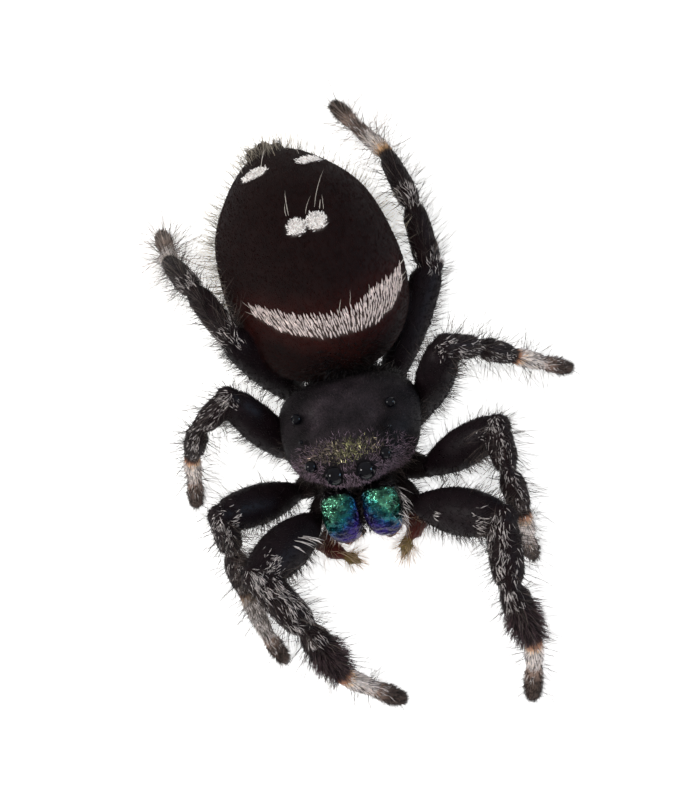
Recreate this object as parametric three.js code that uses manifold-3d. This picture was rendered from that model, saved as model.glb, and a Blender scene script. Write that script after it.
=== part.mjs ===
// A bold jumping spider standing on its eight feet, at life size.
// Millimetres, +Z up. The face looks along -Y, and the spider's own left is +X.
import * as THREE from 'three';
import { mergeVertices } from 'three/addons/utils/BufferGeometryUtils.js';
import Module from 'manifold-3d';

const wasm = await Module();
wasm.setup();

// ---- Driving sizes ----
const seam = 0.03;
const carapace = { length: 5.9, width: 5.15, top: 2.05, margin: -0.45 };
const headHeight = 2.35;
const headPitch = 15;
const sternum = { length: 3.6, width: 1.8, bottom: -1.4, middle: -0.35 };
const abdomen = { length: 8.9, width: 6.25, height: 5.2, yaw: 12.5, centre: [-0.72, 6.08, 3.2] };
const chelicera = { length: 2.05, width: 1.34, depth: 1.25, tilt: 25, apart: 1.38 };
const footHeight = 0.22;

// Pairs of eyes: half the distance between the two, then along and above the head, and the radius.
const eyePairs = {
  eye_front: { place: [0.53, -2.74, 1.42], radius: 0.34 },
  eye_side: { place: [1.27, -2.34, 1.6], radius: 0.2 },
  eye_small: { place: [1.5, -1.45, 1.84], radius: 0.08 },
  eye_back: { place: [1.6, -0.5, 1.87], radius: 0.18 },
};

// Each pair of legs, front to back: where the coxa leaves the sternum and where the femur is
// hinged to it, both from the middle of the head, then [length, start radius, belly] by segment.
const legPairs = {
  1: {
    root: [0.85, -1.65],
    hip: [1.68, -2.72],
    femur: [3.8, 0.44, 0.28],
    patella: [2.3, 0.55, 0.06],
    tibia: [2.05, 0.54, 0.2],
    metatarsus: [1.45, 0.36, -0.02],
    tarsus: [0.95, 0.29, 0.04],
    tip: 0.28,
  },
  2: {
    root: [0.95, -0.75],
    hip: [2.2, -1.33],
    femur: [3.5, 0.42, 0.22],
    patella: [1.55, 0.48, 0.04],
    tibia: [1.75, 0.43, 0.08],
    metatarsus: [1.6, 0.34, 0],
    tarsus: [0.85, 0.27, 0.03],
    tip: 0.26,
  },
  3: {
    root: [0.95, 0.25],
    hip: [2.3, 0.28],
    femur: [3.4, 0.42, 0.2],
    patella: [1.4, 0.46, 0.03],
    tibia: [1.6, 0.41, 0.06],
    metatarsus: [1.55, 0.33, 0],
    tarsus: [0.85, 0.27, 0.03],
    tip: 0.26,
  },
  4: {
    root: [0.85, 1.1],
    hip: [1.94, 2.55],
    femur: [4.25, 0.43, 0.18],
    patella: [2.25, 0.49, 0.03],
    tibia: [2.7, 0.43, 0.05],
    metatarsus: [2.6, 0.33, -0.02],
    tarsus: [1.3, 0.27, 0.03],
    tip: 0.26,
  },
};

// The stance in degrees: [turn, lift] of each segment. Turn is 0 ahead and 90 to the spider's left.
// A leg whose coxa swings out of line has a hip of its own.
const stance = {
  l1: { femur: [60, 27], patella: [1, -6], tibia: [10, -42], metatarsus: -21, tarsus: [-21, -48] },
  r1: { femur: [-35, 37], patella: [36, -26], tibia: [31, -41], metatarsus: 69, tarsus: [73, -44] },
  l2: { femur: [90, 39], patella: [9, 0], tibia: [7, -54], metatarsus: -24, tarsus: [4, -75] },
  r2: { femur: [-57, 42], patella: [-25, -64], tibia: [10, -48], metatarsus: 18, tarsus: [26, -43] },
  l3: {
    hip: [2.36, 1.07], femur: [124, 63], patella: [98, -40], tibia: [87, -50], metatarsus: 96, tarsus: [84, -40],
  },
  r3: { femur: [-125, 58], patella: [-66, -20], tibia: [-57, -61], metatarsus: -59, tarsus: [-18, -51] },
  l4: {
    hip: [1.16, 2.32], femur: [150, 16], patella: [185, 16], tibia: [196, -14], metatarsus: 210, tarsus: [210, -23],
  },
  r4: { femur: [-123, 66], patella: [-151, -1], tibia: [-152, -33], metatarsus: -163, tarsus: [-164, -38] },
};

// Palps: the bends of each from its root to its tip, in the stance, and the radius at each bend.
const palpBends = {
  left: [[0.45, -2.4, 1.55], [1.68, -3.35, 1.4], [1.2, -3.7, 1.25], [0.95, -4.15, 1.0]],
  right: [[-0.45, -2.4, 1.55], [-1.75, -3.45, 1.35], [-1.0, -3.93, 1.2], [-0.62, -4.12, 1.0]],
};
const palpRadii = [0.26, 0.27, 0.27, 0.27];

// ---- Materials ----
const coat = new THREE.Color(0.035, 0.024, 0.024);
const finishes = {
  coat: { color: coat, roughness: 0.85, metalness: 0 },
  shell: { color: new THREE.Color(0.05, 0.048, 0.055), roughness: 0.45, metalness: 0 },
  leg: { color: new THREE.Color(0.04, 0.03, 0.032), roughness: 0.4, metalness: 0 },
  foot: { color: new THREE.Color(0.3, 0.2, 0.16), roughness: 0.7, metalness: 0 },
  jaw: { color: new THREE.Color(0.02, 0.3, 0.22), roughness: 0.25, metalness: 0.7 },
  fang: { color: new THREE.Color(0.16, 0.05, 0.03), roughness: 0.3, metalness: 0 },
  eye: { color: new THREE.Color(0.01, 0.01, 0.014), roughness: 0.05, metalness: 0 },
};

// ---- Solids ----
const spider = new THREE.Group();
const radians = THREE.MathUtils.degToRad;
const smooth = THREE.MathUtils.smoothstep;
const mix = THREE.MathUtils.lerp;

const weld = (geometry) => {
  const bare = geometry.clone();
  bare.deleteAttribute('normal');
  bare.deleteAttribute('uv');
  return mergeVertices(bare, 1e-4);
};

const toSolid = (geometry) => {
  const bare = weld(geometry);
  return new wasm.Manifold(new wasm.Mesh({
    numProp: 3,
    vertProperties: Float32Array.from(bare.attributes.position.array),
    triVerts: Uint32Array.from(bare.index.array),
  }));
};

const toGeometry = (solid) => {
  const mesh = solid.getMesh();
  const geometry = new THREE.BufferGeometry();
  geometry.setAttribute('position', new THREE.BufferAttribute(Float32Array.from(mesh.vertProperties), 3));
  geometry.setIndex(new THREE.BufferAttribute(Uint32Array.from(mesh.triVerts), 1));
  geometry.computeVertexNormals();
  return geometry;
};

// The same shape with its surface moved out by a distance, to cut clearance from a neighbour.
const swollen = (geometry, distance) => {
  const grown = weld(geometry);
  grown.computeVertexNormals();
  const place = grown.attributes.position;
  const normal = grown.attributes.normal;
  for (let i = 0; i < place.count; i += 1) {
    const x = place.getX(i) + normal.getX(i) * distance;
    const y = place.getY(i) + normal.getY(i) * distance;
    const z = place.getZ(i) + normal.getZ(i) * distance;
    place.setXYZ(i, x, y, z);
  }
  return grown;
};

// Adds a named part, with its own origin at the given pivot.
const addPart = (name, solid, finish, pivot) => {
  const geometry = toGeometry(solid);
  geometry.translate(-pivot.x, -pivot.y, -pivot.z);
  const mesh = new THREE.Mesh(geometry, new THREE.MeshStandardMaterial(finishes[finish]));
  mesh.name = name;
  mesh.position.copy(pivot);
  spider.add(mesh);
};

// A rounded body along Y. ends and ring set how square its ends and its section are (2 is round),
// and shape puts each point of the unit body in its place.
const roundedBody = (around, along, ends, ring, shape) => {
  const geometry = new THREE.SphereGeometry(1, around, along);
  const point = geometry.attributes.position;
  const squared = (value, power) => Math.sign(value) * Math.abs(value) ** (2 / power);
  for (let i = 0; i < point.count; i += 1) {
    const y = THREE.MathUtils.clamp(point.getY(i), -1, 1);
    const reach = Math.hypot(point.getX(i), point.getZ(i));
    const across = reach < 1e-6 ? 0 : squared(point.getX(i) / reach, ring);
    const up = reach < 1e-6 ? 0 : squared(point.getZ(i) / reach, ring);
    const scale = squared(Math.min(reach, 1), ends);
    point.setXYZ(i, ...shape(scale * across, squared(y, ends), scale * up));
  }
  return geometry;
};

// A big block on the far side of a plane, which takes away all that is beyond it.
const beyond = (point, normal) => {
  const size = 40;
  const block = new THREE.BoxGeometry(size, size, size);
  block.translate(0, 0, size / 2);
  block.applyQuaternion(new THREE.Quaternion().setFromUnitVectors(new THREE.Vector3(0, 0, 1), normal));
  block.translate(point.x, point.y, point.z);
  return toSolid(block);
};

// A limb segment between two joints: a turned spindle with a ball at each end. around is the
// number of its facets, and rings is the number of its sections between the two joints.
const spindle = (start, end, startRadius, endRadius, belly, around, rings) => {
  const axis = end.clone().sub(start);
  const length = axis.length();
  const profile = [new THREE.Vector2(0, -startRadius)];
  [-50, -12].forEach((angle) => {
    const a = radians(angle);
    profile.push(new THREE.Vector2(startRadius * Math.cos(a), startRadius * Math.sin(a)));
  });
  for (let i = 1; i <= rings; i += 1) {
    const t = i / (rings + 1);
    const radius = mix(startRadius, endRadius, t) + belly * Math.sin(Math.PI * t);
    profile.push(new THREE.Vector2(radius, t * length));
  }
  [12, 50].forEach((angle) => {
    const a = radians(angle);
    profile.push(new THREE.Vector2(endRadius * Math.cos(a), length + endRadius * Math.sin(a)));
  });
  profile.push(new THREE.Vector2(0, length + endRadius));
  const geometry = new THREE.LatheGeometry(profile, around);
  geometry.applyQuaternion(new THREE.Quaternion().setFromUnitVectors(
    new THREE.Vector3(0, 1, 0),
    axis.normalize(),
  ));
  geometry.translate(start.x, start.y, start.z);
  return geometry;
};

// ---- Head and thorax ----
const head = new THREE.Matrix4().makeRotationX(-radians(headPitch));
head.setPosition(0, 0, headHeight);
const onHead = (x, y, z) => new THREE.Vector3(x, y, z).applyMatrix4(head);

const carapaceShape = (u, t, v) => {
  const widest = 0.12;
  const narrowing = t < widest ? 0.2 : 0.6;
  const halfWidth = (carapace.width / 2) * (1 - narrowing * (t - widest) ** 2);
  const brow = 0.18 * smooth(-t, 0.1, 1);
  const fall = 1.95 * smooth(t, 0.05, 1.05);
  const top = carapace.top - brow - fall;
  const bottom = carapace.margin + 0.95 * smooth(-t, 0.55, 0.95);
  const taper = 0.16;
  const x = u * halfWidth * (1 - taper * (v + 1) / 2);
  const bow = 0.42 * (x / 1.8) ** 2 * smooth(-t, 0.3, 1);
  return [x, t * carapace.length / 2 + bow, mix(bottom, top, (v + 1) / 2)];
};
const carapaceGeometry = roundedBody(20, 12, 4.2, 3.2, carapaceShape).applyMatrix4(head);
const aroundCarapace = toSolid(swollen(carapaceGeometry, seam));
let carapaceSolid = toSolid(carapaceGeometry);

for (const [name, eye] of Object.entries(eyePairs)) {
  for (const [sideName, side] of [['left', 1], ['right', -1]]) {
    const [x, y, z] = eye.place;
    const centre = onHead(side * x, y, z);
    const steps = Math.round(4 + 15 * eye.radius);
    const ball = new THREE.SphereGeometry(eye.radius, steps, steps - 2);
    ball.translate(centre.x, centre.y, centre.z);
    carapaceSolid = carapaceSolid.subtract(toSolid(swollen(ball, seam)));
    addPart(`${name}_${sideName}`, toSolid(ball), 'eye', centre);
  }
}
addPart('carapace', carapaceSolid, 'shell', onHead(0, 0, 0));

const sternumShape = (u, t, v) => {
  const narrow = 1 - 0.18 * (t + 0.1) ** 2;
  const top = carapace.margin - 2 * seam;
  return [
    u * narrow * sternum.width / 2,
    sternum.middle + t * sternum.length / 2,
    mix(sternum.bottom, top, (v + 1) / 2),
  ];
};
const sternumGeometry = roundedBody(12, 6, 3, 3, sternumShape).applyMatrix4(head);
const aroundSternum = toSolid(swollen(sternumGeometry, seam));
addPart('sternum', toSolid(sternumGeometry).subtract(aroundCarapace), 'leg', onHead(0, 0, -1));

// ---- Jaws: the chelicera hangs from the brow and slopes forward, with the fang folded below ----
const jawBlocks = [];
for (const [sideName, side] of [['left', 1], ['right', -1]]) {
  const cheliceraShape = (u, t, v) => {
    const knuckle = 1 - 0.12 * (t - 0.3) ** 2 - 0.14 * smooth(-t, 0.2, 1);
    return [
      u * knuckle * chelicera.width / 2,
      t * chelicera.length / 2,
      (v * knuckle + 0.12 * (1 - t * t)) * chelicera.depth / 2,
    ];
  };
  const jaw = roundedBody(12, 8, 2.7, 2.3, cheliceraShape);
  jaw.rotateX(radians(90 - chelicera.tilt));
  const offset = [side * chelicera.apart / 2, -2.98, -0.42];
  jaw.translate(...offset);
  jaw.applyMatrix4(head);
  const grownJaw = toSolid(swollen(jaw, seam));
  jawBlocks.push(grownJaw);
  const jawSolid = toSolid(jaw).subtract(aroundCarapace).subtract(aroundSternum);
  addPart(`chelicera_${sideName}`, jawSolid, 'jaw', onHead(...offset));

  const fangStart = onHead(side * 0.72, -3.38, -1.36);
  const fangEnd = onHead(side * 0.2, -3.06, -1.52);
  const fang = toSolid(spindle(fangStart, fangEnd, 0.22, 0.1, 0, 6, 0));
  addPart(`fang_${sideName}`, fang.subtract(grownJaw), 'fang', fangStart);
}

// ---- Abdomen, its stalk and the spinnerets ----
const hind = new THREE.Matrix4().makeRotationZ(radians(abdomen.yaw));
hind.setPosition(...abdomen.centre);
const onHind = (x, y, z) => new THREE.Vector3(x, y, z).applyMatrix4(hind);

const abdomenShape = (u, t, v) => {
  const halfWidth = (abdomen.width / 2) * (1 - 0.1 * t - 0.16 * smooth(t, 0.35, 1));
  const sag = v < 0 ? 0.92 : 1;
  const halfHeight = (abdomen.height / 2) * sag * (1 - 0.12 * t - 0.1 * smooth(t, 0.35, 1));
  const lean = -0.4 * v * smooth(-t, 0, 1);
  return [u * halfWidth, t * abdomen.length / 2 + lean, v * halfHeight];
};
const abdomenGeometry = roundedBody(20, 14, 2.25, 2.15, abdomenShape).applyMatrix4(hind);
const aroundAbdomen = toSolid(swollen(abdomenGeometry, seam));
addPart('abdomen', toSolid(abdomenGeometry).subtract(aroundCarapace), 'coat', onHind(0, 0, 0));

const stalkStart = onHead(0, 2.2, -0.42);
const stalkEnd = new THREE.Vector3(-0.05, 3.4, 1.7);
const stalk = toSolid(spindle(stalkStart, stalkEnd, 0.36, 0.42, 0, 8, 0));
addPart('pedicel', stalk.subtract(aroundCarapace).subtract(aroundAbdomen), 'leg', stalkStart);

let spinnerets = null;
for (const [x, z, reach] of [[0.27, -0.05, 0.62], [-0.27, -0.05, 0.62], [0.25, -0.5, 0.5], [-0.25, -0.5, 0.5]]) {
  const start = onHind(x * 0.8, abdomen.length / 2 - 0.45, z * 0.8);
  const end = onHind(x * 1.1, abdomen.length / 2 + reach - 0.25, z * 1.1 + 0.1);
  const tube = toSolid(spindle(start, end, 0.32, 0.25, 0, 6, 0));
  spinnerets = spinnerets ? spinnerets.add(tube) : tube;
}
const tail = onHind(0, abdomen.length / 2, 0);
addPart('spinnerets', spinnerets.subtract(aroundAbdomen), 'coat', tail);

// ---- Palps: three short segments in one, bent down beside the jaws ----
for (const [sideName, bends] of Object.entries(palpBends)) {
  const joints = bends.map((bend) => new THREE.Vector3(...bend));
  let palp = null;
  for (let i = 0; i < joints.length - 1; i += 1) {
    const piece = toSolid(spindle(joints[i], joints[i + 1], palpRadii[i], palpRadii[i + 1], 0.03, 6, 1));
    palp = palp ? palp.add(piece) : piece;
  }
  jawBlocks.forEach((block) => {
    palp = palp.subtract(block);
  });
  addPart(`palp_${sideName}`, palp.subtract(aroundSternum), 'foot', joints[0]);
}

// ---- Legs ----
const heading = ([turn, lift]) => new THREE.Vector3(
  Math.sin(radians(turn)) * Math.cos(radians(lift)),
  -Math.cos(radians(turn)) * Math.cos(radians(lift)),
  Math.sin(radians(lift)),
);
const step = (from, angles, length) => heading(angles).multiplyScalar(length).add(from);
const floor = beyond(new THREE.Vector3(0, 0, 0), new THREE.Vector3(0, 0, -1));

// The joints of a leg from the hip down. The metatarsus drops as far as the foot needs.
const legJoints = (pair, pose, side) => {
  const [hipX, hipY] = pose.hip || pair.hip;
  const hip = onHead(side * hipX, hipY, sternum.bottom + 0.48);
  const knee = step(hip, pose.femur, pair.femur[0]);
  const shin = step(knee, pose.patella, pair.patella[0]);
  const ankle = step(shin, pose.tibia, pair.tibia[0]);
  const sole = footHeight - pair.tarsus[0] * Math.sin(radians(pose.tarsus[1]));
  const drop = THREE.MathUtils.radToDeg(Math.asin((sole - ankle.z) / pair.metatarsus[0]));
  const toe = step(ankle, [pose.metatarsus, drop], pair.metatarsus[0]);
  const tip = step(toe, pose.tarsus, pair.tarsus[0]);
  return [hip, knee, shin, ankle, toe, tip];
};

const cutAt = (solid, joint, before, after, keepBefore) => {
  const normal = before.clone().normalize().add(after.clone().normalize()).normalize();
  if (!keepBefore) normal.negate();
  const plane = joint.clone().addScaledVector(normal, -seam / 2);
  return solid.subtract(beyond(plane, normal));
};

for (const [label, pose] of Object.entries(stance)) {
  const side = label[0] === 'l' ? 1 : -1;
  const pair = legPairs[label[1]];
  const joints = legJoints(pair, pose, side);
  const [hip, knee, shin, ankle, toe, tip] = joints;
  const root = onHead(side * pair.root[0], pair.root[1], sternum.bottom + 0.48);
  const reach = joints.slice(1).map((joint, i) => joint.clone().sub(joints[i]));
  const inward = hip.clone().sub(root);

  let coxa = toSolid(spindle(root, hip, 0.43, pair.femur[1], 0.05, 6, 1));
  coxa = cutAt(coxa, hip, inward, reach[0], true);
  addPart(`coxa_${label}`, coxa.subtract(aroundSternum).subtract(aroundCarapace), 'leg', root);

  let femur = toSolid(spindle(hip, knee, pair.femur[1], pair.patella[1], pair.femur[2], 8, 3));
  femur = cutAt(femur, hip, inward, reach[0], false);
  femur = cutAt(femur, knee, reach[0], reach[1], true);
  addPart(`femur_${label}`, femur.subtract(aroundCarapace).subtract(aroundAbdomen), 'leg', hip);

  let patella = toSolid(spindle(knee, shin, pair.patella[1], pair.tibia[1], pair.patella[2], 8, 1));
  patella = cutAt(patella, knee, reach[0], reach[1], false);
  patella = cutAt(patella, shin, reach[1], reach[2], true);
  addPart(`patella_${label}`, patella.subtract(aroundAbdomen), 'leg', knee);

  let tibia = toSolid(spindle(shin, ankle, pair.tibia[1], pair.metatarsus[1], pair.tibia[2], 8, 3));
  tibia = cutAt(tibia, shin, reach[1], reach[2], false);
  tibia = cutAt(tibia, ankle, reach[2], reach[3], true);
  addPart(`tibia_${label}`, tibia.subtract(aroundAbdomen), 'leg', shin);

  let foot = toSolid(spindle(ankle, toe, pair.metatarsus[1], pair.tarsus[1], pair.metatarsus[2], 6, 1));
  foot = foot.add(toSolid(spindle(toe, tip, pair.tarsus[1], pair.tip, pair.tarsus[2], 6, 1)));
  foot = cutAt(foot, ankle, reach[2], reach[3], false);
  addPart(`foot_${label}`, foot.subtract(floor), 'foot', ankle);
}

// The origin is under the middle of the figure, on the floor.
const box = new THREE.Box3().setFromObject(spider);
const middle = box.getCenter(new THREE.Vector3());
spider.position.set(-middle.x, -middle.y, -box.min.z);

export default spider;
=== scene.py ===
import math

import bpy
import numpy as np
from mathutils import Matrix, Vector
from mathutils.kdtree import KDTree


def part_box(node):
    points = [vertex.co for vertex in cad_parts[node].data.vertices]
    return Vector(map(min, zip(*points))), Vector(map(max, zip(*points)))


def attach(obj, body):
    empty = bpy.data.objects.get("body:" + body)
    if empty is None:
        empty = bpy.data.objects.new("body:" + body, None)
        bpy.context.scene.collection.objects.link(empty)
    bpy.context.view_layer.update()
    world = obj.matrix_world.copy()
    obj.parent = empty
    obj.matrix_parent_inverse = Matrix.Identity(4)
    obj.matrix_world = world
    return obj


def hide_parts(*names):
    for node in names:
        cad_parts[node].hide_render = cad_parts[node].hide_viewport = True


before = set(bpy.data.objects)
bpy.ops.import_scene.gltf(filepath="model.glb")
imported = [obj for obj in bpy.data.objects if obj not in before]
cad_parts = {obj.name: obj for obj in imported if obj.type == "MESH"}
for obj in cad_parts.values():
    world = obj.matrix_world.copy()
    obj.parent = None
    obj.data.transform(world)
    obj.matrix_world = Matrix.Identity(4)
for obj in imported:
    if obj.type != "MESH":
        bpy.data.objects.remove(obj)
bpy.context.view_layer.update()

# A jumping spider at life size. Shapes are worked out in millimetres and stored in metres.
# The face looks along -Y, and the spider's own left is +X.
mm = 0.001

# Where the random draws of each step start from.
seeds = {"joints": 3, "owners": 5, "abdomen": 11, "fringe": 13, "legs": 20, "palps": 31, "under": 37,
         "head": 41, "jaws": 43}


# Small helpers for points and objects.
def unit(v):
    return v / np.maximum(np.linalg.norm(v, axis=-1, keepdims=True), 1e-9)


def smooth(value, low, high):
    t = np.clip((value - low) / (high - low), 0, 1)
    return t * t * (3 - 2 * t)


def mix(a, b, share):
    return a + (b - a) * share


def boxOf(node):
    low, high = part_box(node)
    return np.array(low) / mm, np.array(high) / mm


def deselectAll():
    bpy.ops.object.select_all(action="DESELECT")


def makeActive(piece):
    deselectAll()
    piece.select_set(True)
    bpy.context.view_layer.objects.active = piece


def applyModifier(piece, kind, **settings):
    makeActive(piece)
    modifier = piece.modifiers.new(kind.lower(), kind)
    for key, value in settings.items():
        setattr(modifier, key, value)
    bpy.ops.object.modifier_apply(modifier=modifier.name)


def scaleMesh(piece, factor):
    piece.data.transform(Matrix.Scale(factor, 4))
    piece.data.update()


def linkPiece(piece, name):
    bpy.context.scene.collection.objects.link(piece)
    piece.name = name
    piece.data.name = name


# A welded copy of a CAD node, drawn with a millimetre as its unit.
def copyOf(node, name, weldReach=0.002):
    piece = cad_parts[node].copy()
    piece.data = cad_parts[node].data.copy()
    piece.parent = None
    for key in list(piece.keys()):
        del piece[key]
    linkPiece(piece, name)
    piece.data.materials.clear()
    scaleMesh(piece, 1 / mm)
    makeActive(piece)
    bpy.ops.object.mode_set(mode="EDIT")
    bpy.ops.mesh.select_all(action="SELECT")
    bpy.ops.mesh.remove_doubles(threshold=weldReach)
    bpy.ops.object.mode_set(mode="OBJECT")
    return piece


def joinPieces(pieces, name):
    deselectAll()
    for piece in pieces:
        piece.select_set(True)
    bpy.context.view_layer.objects.active = pieces[0]
    bpy.ops.object.join()
    pieces[0].name = name
    pieces[0].data.name = name
    return pieces[0]


def readAll(items, key, width, kind=np.float32):
    values = np.empty(len(items) * width, kind)
    items.foreach_get(key, values)
    return values.reshape(-1, width)


def coordinates(piece):
    return readAll(piece.data.vertices, "co", 3).astype(float)


def pointsOf(node):
    return coordinates(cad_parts[node]) / mm


def setCoordinates(piece, points):
    piece.data.vertices.foreach_set("co", points.astype(np.float32).ravel())
    piece.data.update()


def normalsOf(piece):
    return readAll(piece.data.vertices, "normal", 3).astype(float)


def edgesOf(piece):
    return readAll(piece.data.edges, "vertices", 2, np.int32)


def trianglesOf(piece):
    piece.data.calc_loop_triangles()
    return readAll(piece.data.loop_triangles, "vertices", 3, np.int32)


def areasOf(corners):
    cross = np.cross(corners[:, 1] - corners[:, 0], corners[:, 2] - corners[:, 0])
    return np.linalg.norm(cross, axis=1) / 2


# Random places inside triangles, as shares of two of their sides.
def randomShares(amount, rng):
    a, b = rng.random((2, amount))
    flip = a + b > 1
    a[flip], b[flip] = 1 - a[flip], 1 - b[flip]
    return a, b


def neighbourCount(edges, count):
    return np.maximum(np.bincount(edges.ravel(), minlength=count), 1)


def neighbourMean(values, edges, around):
    total = np.bincount(edges[:, 0], values[edges[:, 1]], minlength=len(values))
    total += np.bincount(edges[:, 1], values[edges[:, 0]], minlength=len(values))
    return total / around


# Evens a value out over the neighbouring points of a mesh.
def spread(values, edges, rounds):
    around = neighbourCount(edges, len(values))
    for _ in range(rounds):
        values = 0.5 * values + 0.5 * neighbourMean(values, edges, around)
    return values


# Rounds off small steps in a mesh. Each smoothing step is undone by a slightly bigger step
# outwards, so the mesh doesn't get thinner.
def relax(piece, rounds, inward=0.5, outward=-0.52):
    points = coordinates(piece)
    edges = edgesOf(piece)
    around = neighbourCount(edges, len(points))
    for factor in [inward, outward] * rounds:
        for i in range(3):
            points[:, i] += factor * (neighbourMean(points[:, i], edges, around) - points[:, i])
    setCoordinates(piece, points)


def remesh(piece, voxel):
    applyModifier(piece, "REMESH", mode="VOXEL", voxel_size=voxel, use_smooth_shade=True)


def shadeSmooth(piece):
    makeActive(piece)
    bpy.ops.object.shade_smooth()


# The last step of a shape: from millimetres to metres, and shaded smooth.
def closeShape(piece):
    scaleMesh(piece, mm)
    shadeSmooth(piece)


def storeTone(piece, name, tones):
    layer = piece.data.attributes.new(name, "FLOAT_COLOR", "POINT")
    rgba = np.ones((len(tones), 4), np.float32)
    rgba[:, :3] = tones
    layer.data.foreach_set("color", rgba.ravel())


def storeValue(piece, name, values):
    layer = piece.data.attributes.new(name, "FLOAT", "POINT")
    layer.data.foreach_set("value", np.asarray(values, np.float32))


def finishPiece(piece, finish, replaced=()):
    piece.data.materials.clear()
    piece.data.materials.append(finish)
    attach(piece, "root")
    if replaced:
        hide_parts(*replaced)


# The frame of a limb: its length, the way along it, its back and its side.
def frameOf(start, end):
    length = np.linalg.norm(end - start)
    axis = (end - start) / length
    dorsal = unit(np.array([0, 0, 1.0]) - axis * axis[2])
    return length, axis, dorsal, np.cross(axis, dorsal)


# A rounded body, made from a ball. ends and ring say how square its length and its section are
# (2 is round), and shape puts each point of the unit body in its place.
def roundedBody(name, ends, ring, shape, segments=96, rings=64):
    deselectAll()
    bpy.ops.mesh.primitive_uv_sphere_add(segments=segments, ring_count=rings, radius=1)
    piece = bpy.context.object
    piece.name = name
    across, above, along = coordinates(piece).T * np.array([[1], [-1], [1]])
    reach = np.hypot(across, above)
    size = (reach ** ends + abs(along) ** ends) ** (-1 / ends)
    section = (abs(across) ** ring + abs(above) ** ring) ** (1 / ring)
    wide = size * reach / np.maximum(section, 1e-9)
    setCoordinates(piece, shape(across * wide, along * size, above * wide))
    return piece


# A limb between two joints, made from a ball: a spindle with a rounded end at each joint,
# swollen by belly in the middle and pinched at the joints. section says how wide and how high
# it is (1, 1 is round).
def limb(name, start, end, startRadius, endRadius, belly, section=(1, 1), pinch=0.1, pinchReach=0.22):
    deselectAll()
    bpy.ops.mesh.primitive_uv_sphere_add(segments=32, ring_count=44, radius=1)
    piece = bpy.context.object
    piece.name = name
    ball = coordinates(piece)
    start, end = np.array(start, float), np.array(end, float)
    length, axis, dorsal, side = frameOf(start, end)
    share = np.arcsin(np.clip(ball[:, 2], -1, 1)) / math.pi + 0.5
    along = share * (length + startRadius + endRadius) - startRadius
    t = np.clip(along / length, 0, 1)
    radius = mix(startRadius, endRadius, t) + belly * np.sin(math.pi * t)
    nearest = np.minimum(abs(along), abs(along - length))
    radius = radius * (1 - pinch * np.exp(-(nearest / pinchReach) ** 2))
    before = np.minimum(along, 0) / startRadius
    after = np.maximum(along - length, 0) / endRadius
    radius = radius * np.sqrt(np.clip(1 - before ** 2 - after ** 2, 0, 1))
    circle = unit(ball[:, :2])
    high = circle[:, :1] * radius[:, None] * section[1]
    wide = circle[:, 1:] * radius[:, None] * section[0]
    setCoordinates(piece, start + axis * along[:, None] + dorsal * high + side * wide)
    return piece


# Materials are built from nodes with these.
def addNode(tree, kind, links=None, **values):
    node = tree.nodes.new("ShaderNode" + kind)
    for key, value in values.items():
        if hasattr(node, key):
            setattr(node, key, value)
        else:
            node.inputs[key.replace("_", " ")].default_value = value
    for socket, source in (links or {}).items():
        tree.links.new(source, node.inputs[socket])
    return node


def addRamp(tree, source, stops):
    ramp = addNode(tree, "ValToRGB", {"Fac": source})
    while len(ramp.color_ramp.elements) < len(stops):
        ramp.color_ramp.elements.new(0.5)
    for element, (place, tone) in zip(ramp.color_ramp.elements, stops):
        element.position = place
        element.color = (*tone, 1)
    return ramp.outputs["Color"]


# Cell and grain patterns are given by the size of one mark, in millimetres.
def grain(tree, size, detail=2.0):
    place = addNode(tree, "TexCoord").outputs["Object"]
    noise = addNode(tree, "TexNoise", {"Vector": place}, Scale=1 / (size * mm), Detail=detail)
    return noise.outputs["Fac"]


def cells(tree, size):
    place = addNode(tree, "TexCoord").outputs["Object"]
    return addNode(tree, "TexVoronoi", {"Vector": place}, Scale=1 / (size * mm)).outputs["Distance"]


# A value or a tone that a mesh keeps on its points.
def stored(tree, name, output="Fac"):
    return addNode(tree, "Attribute", attribute_name=name).outputs[output]


def calc(tree, operation, first, second):
    node = tree.nodes.new("ShaderNodeMath")
    node.operation = operation
    for socket, value in zip(node.inputs, (first, second)):
        if isinstance(value, (int, float)):
            socket.default_value = value
        else:
            tree.links.new(value, socket)
    return node.outputs[0]


def blendTones(tree, kind, share, first, second):
    node = addNode(tree, "Mix", data_type="RGBA", blend_type=kind)
    for index, value in ((0, share), (6, first), (7, second)):
        if isinstance(value, (int, float)):
            node.inputs[index].default_value = value
        elif isinstance(value, tuple):
            node.inputs[index].default_value = (*value, 1)
        else:
            tree.links.new(value, node.inputs[index])
    return node.outputs[2]


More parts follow.
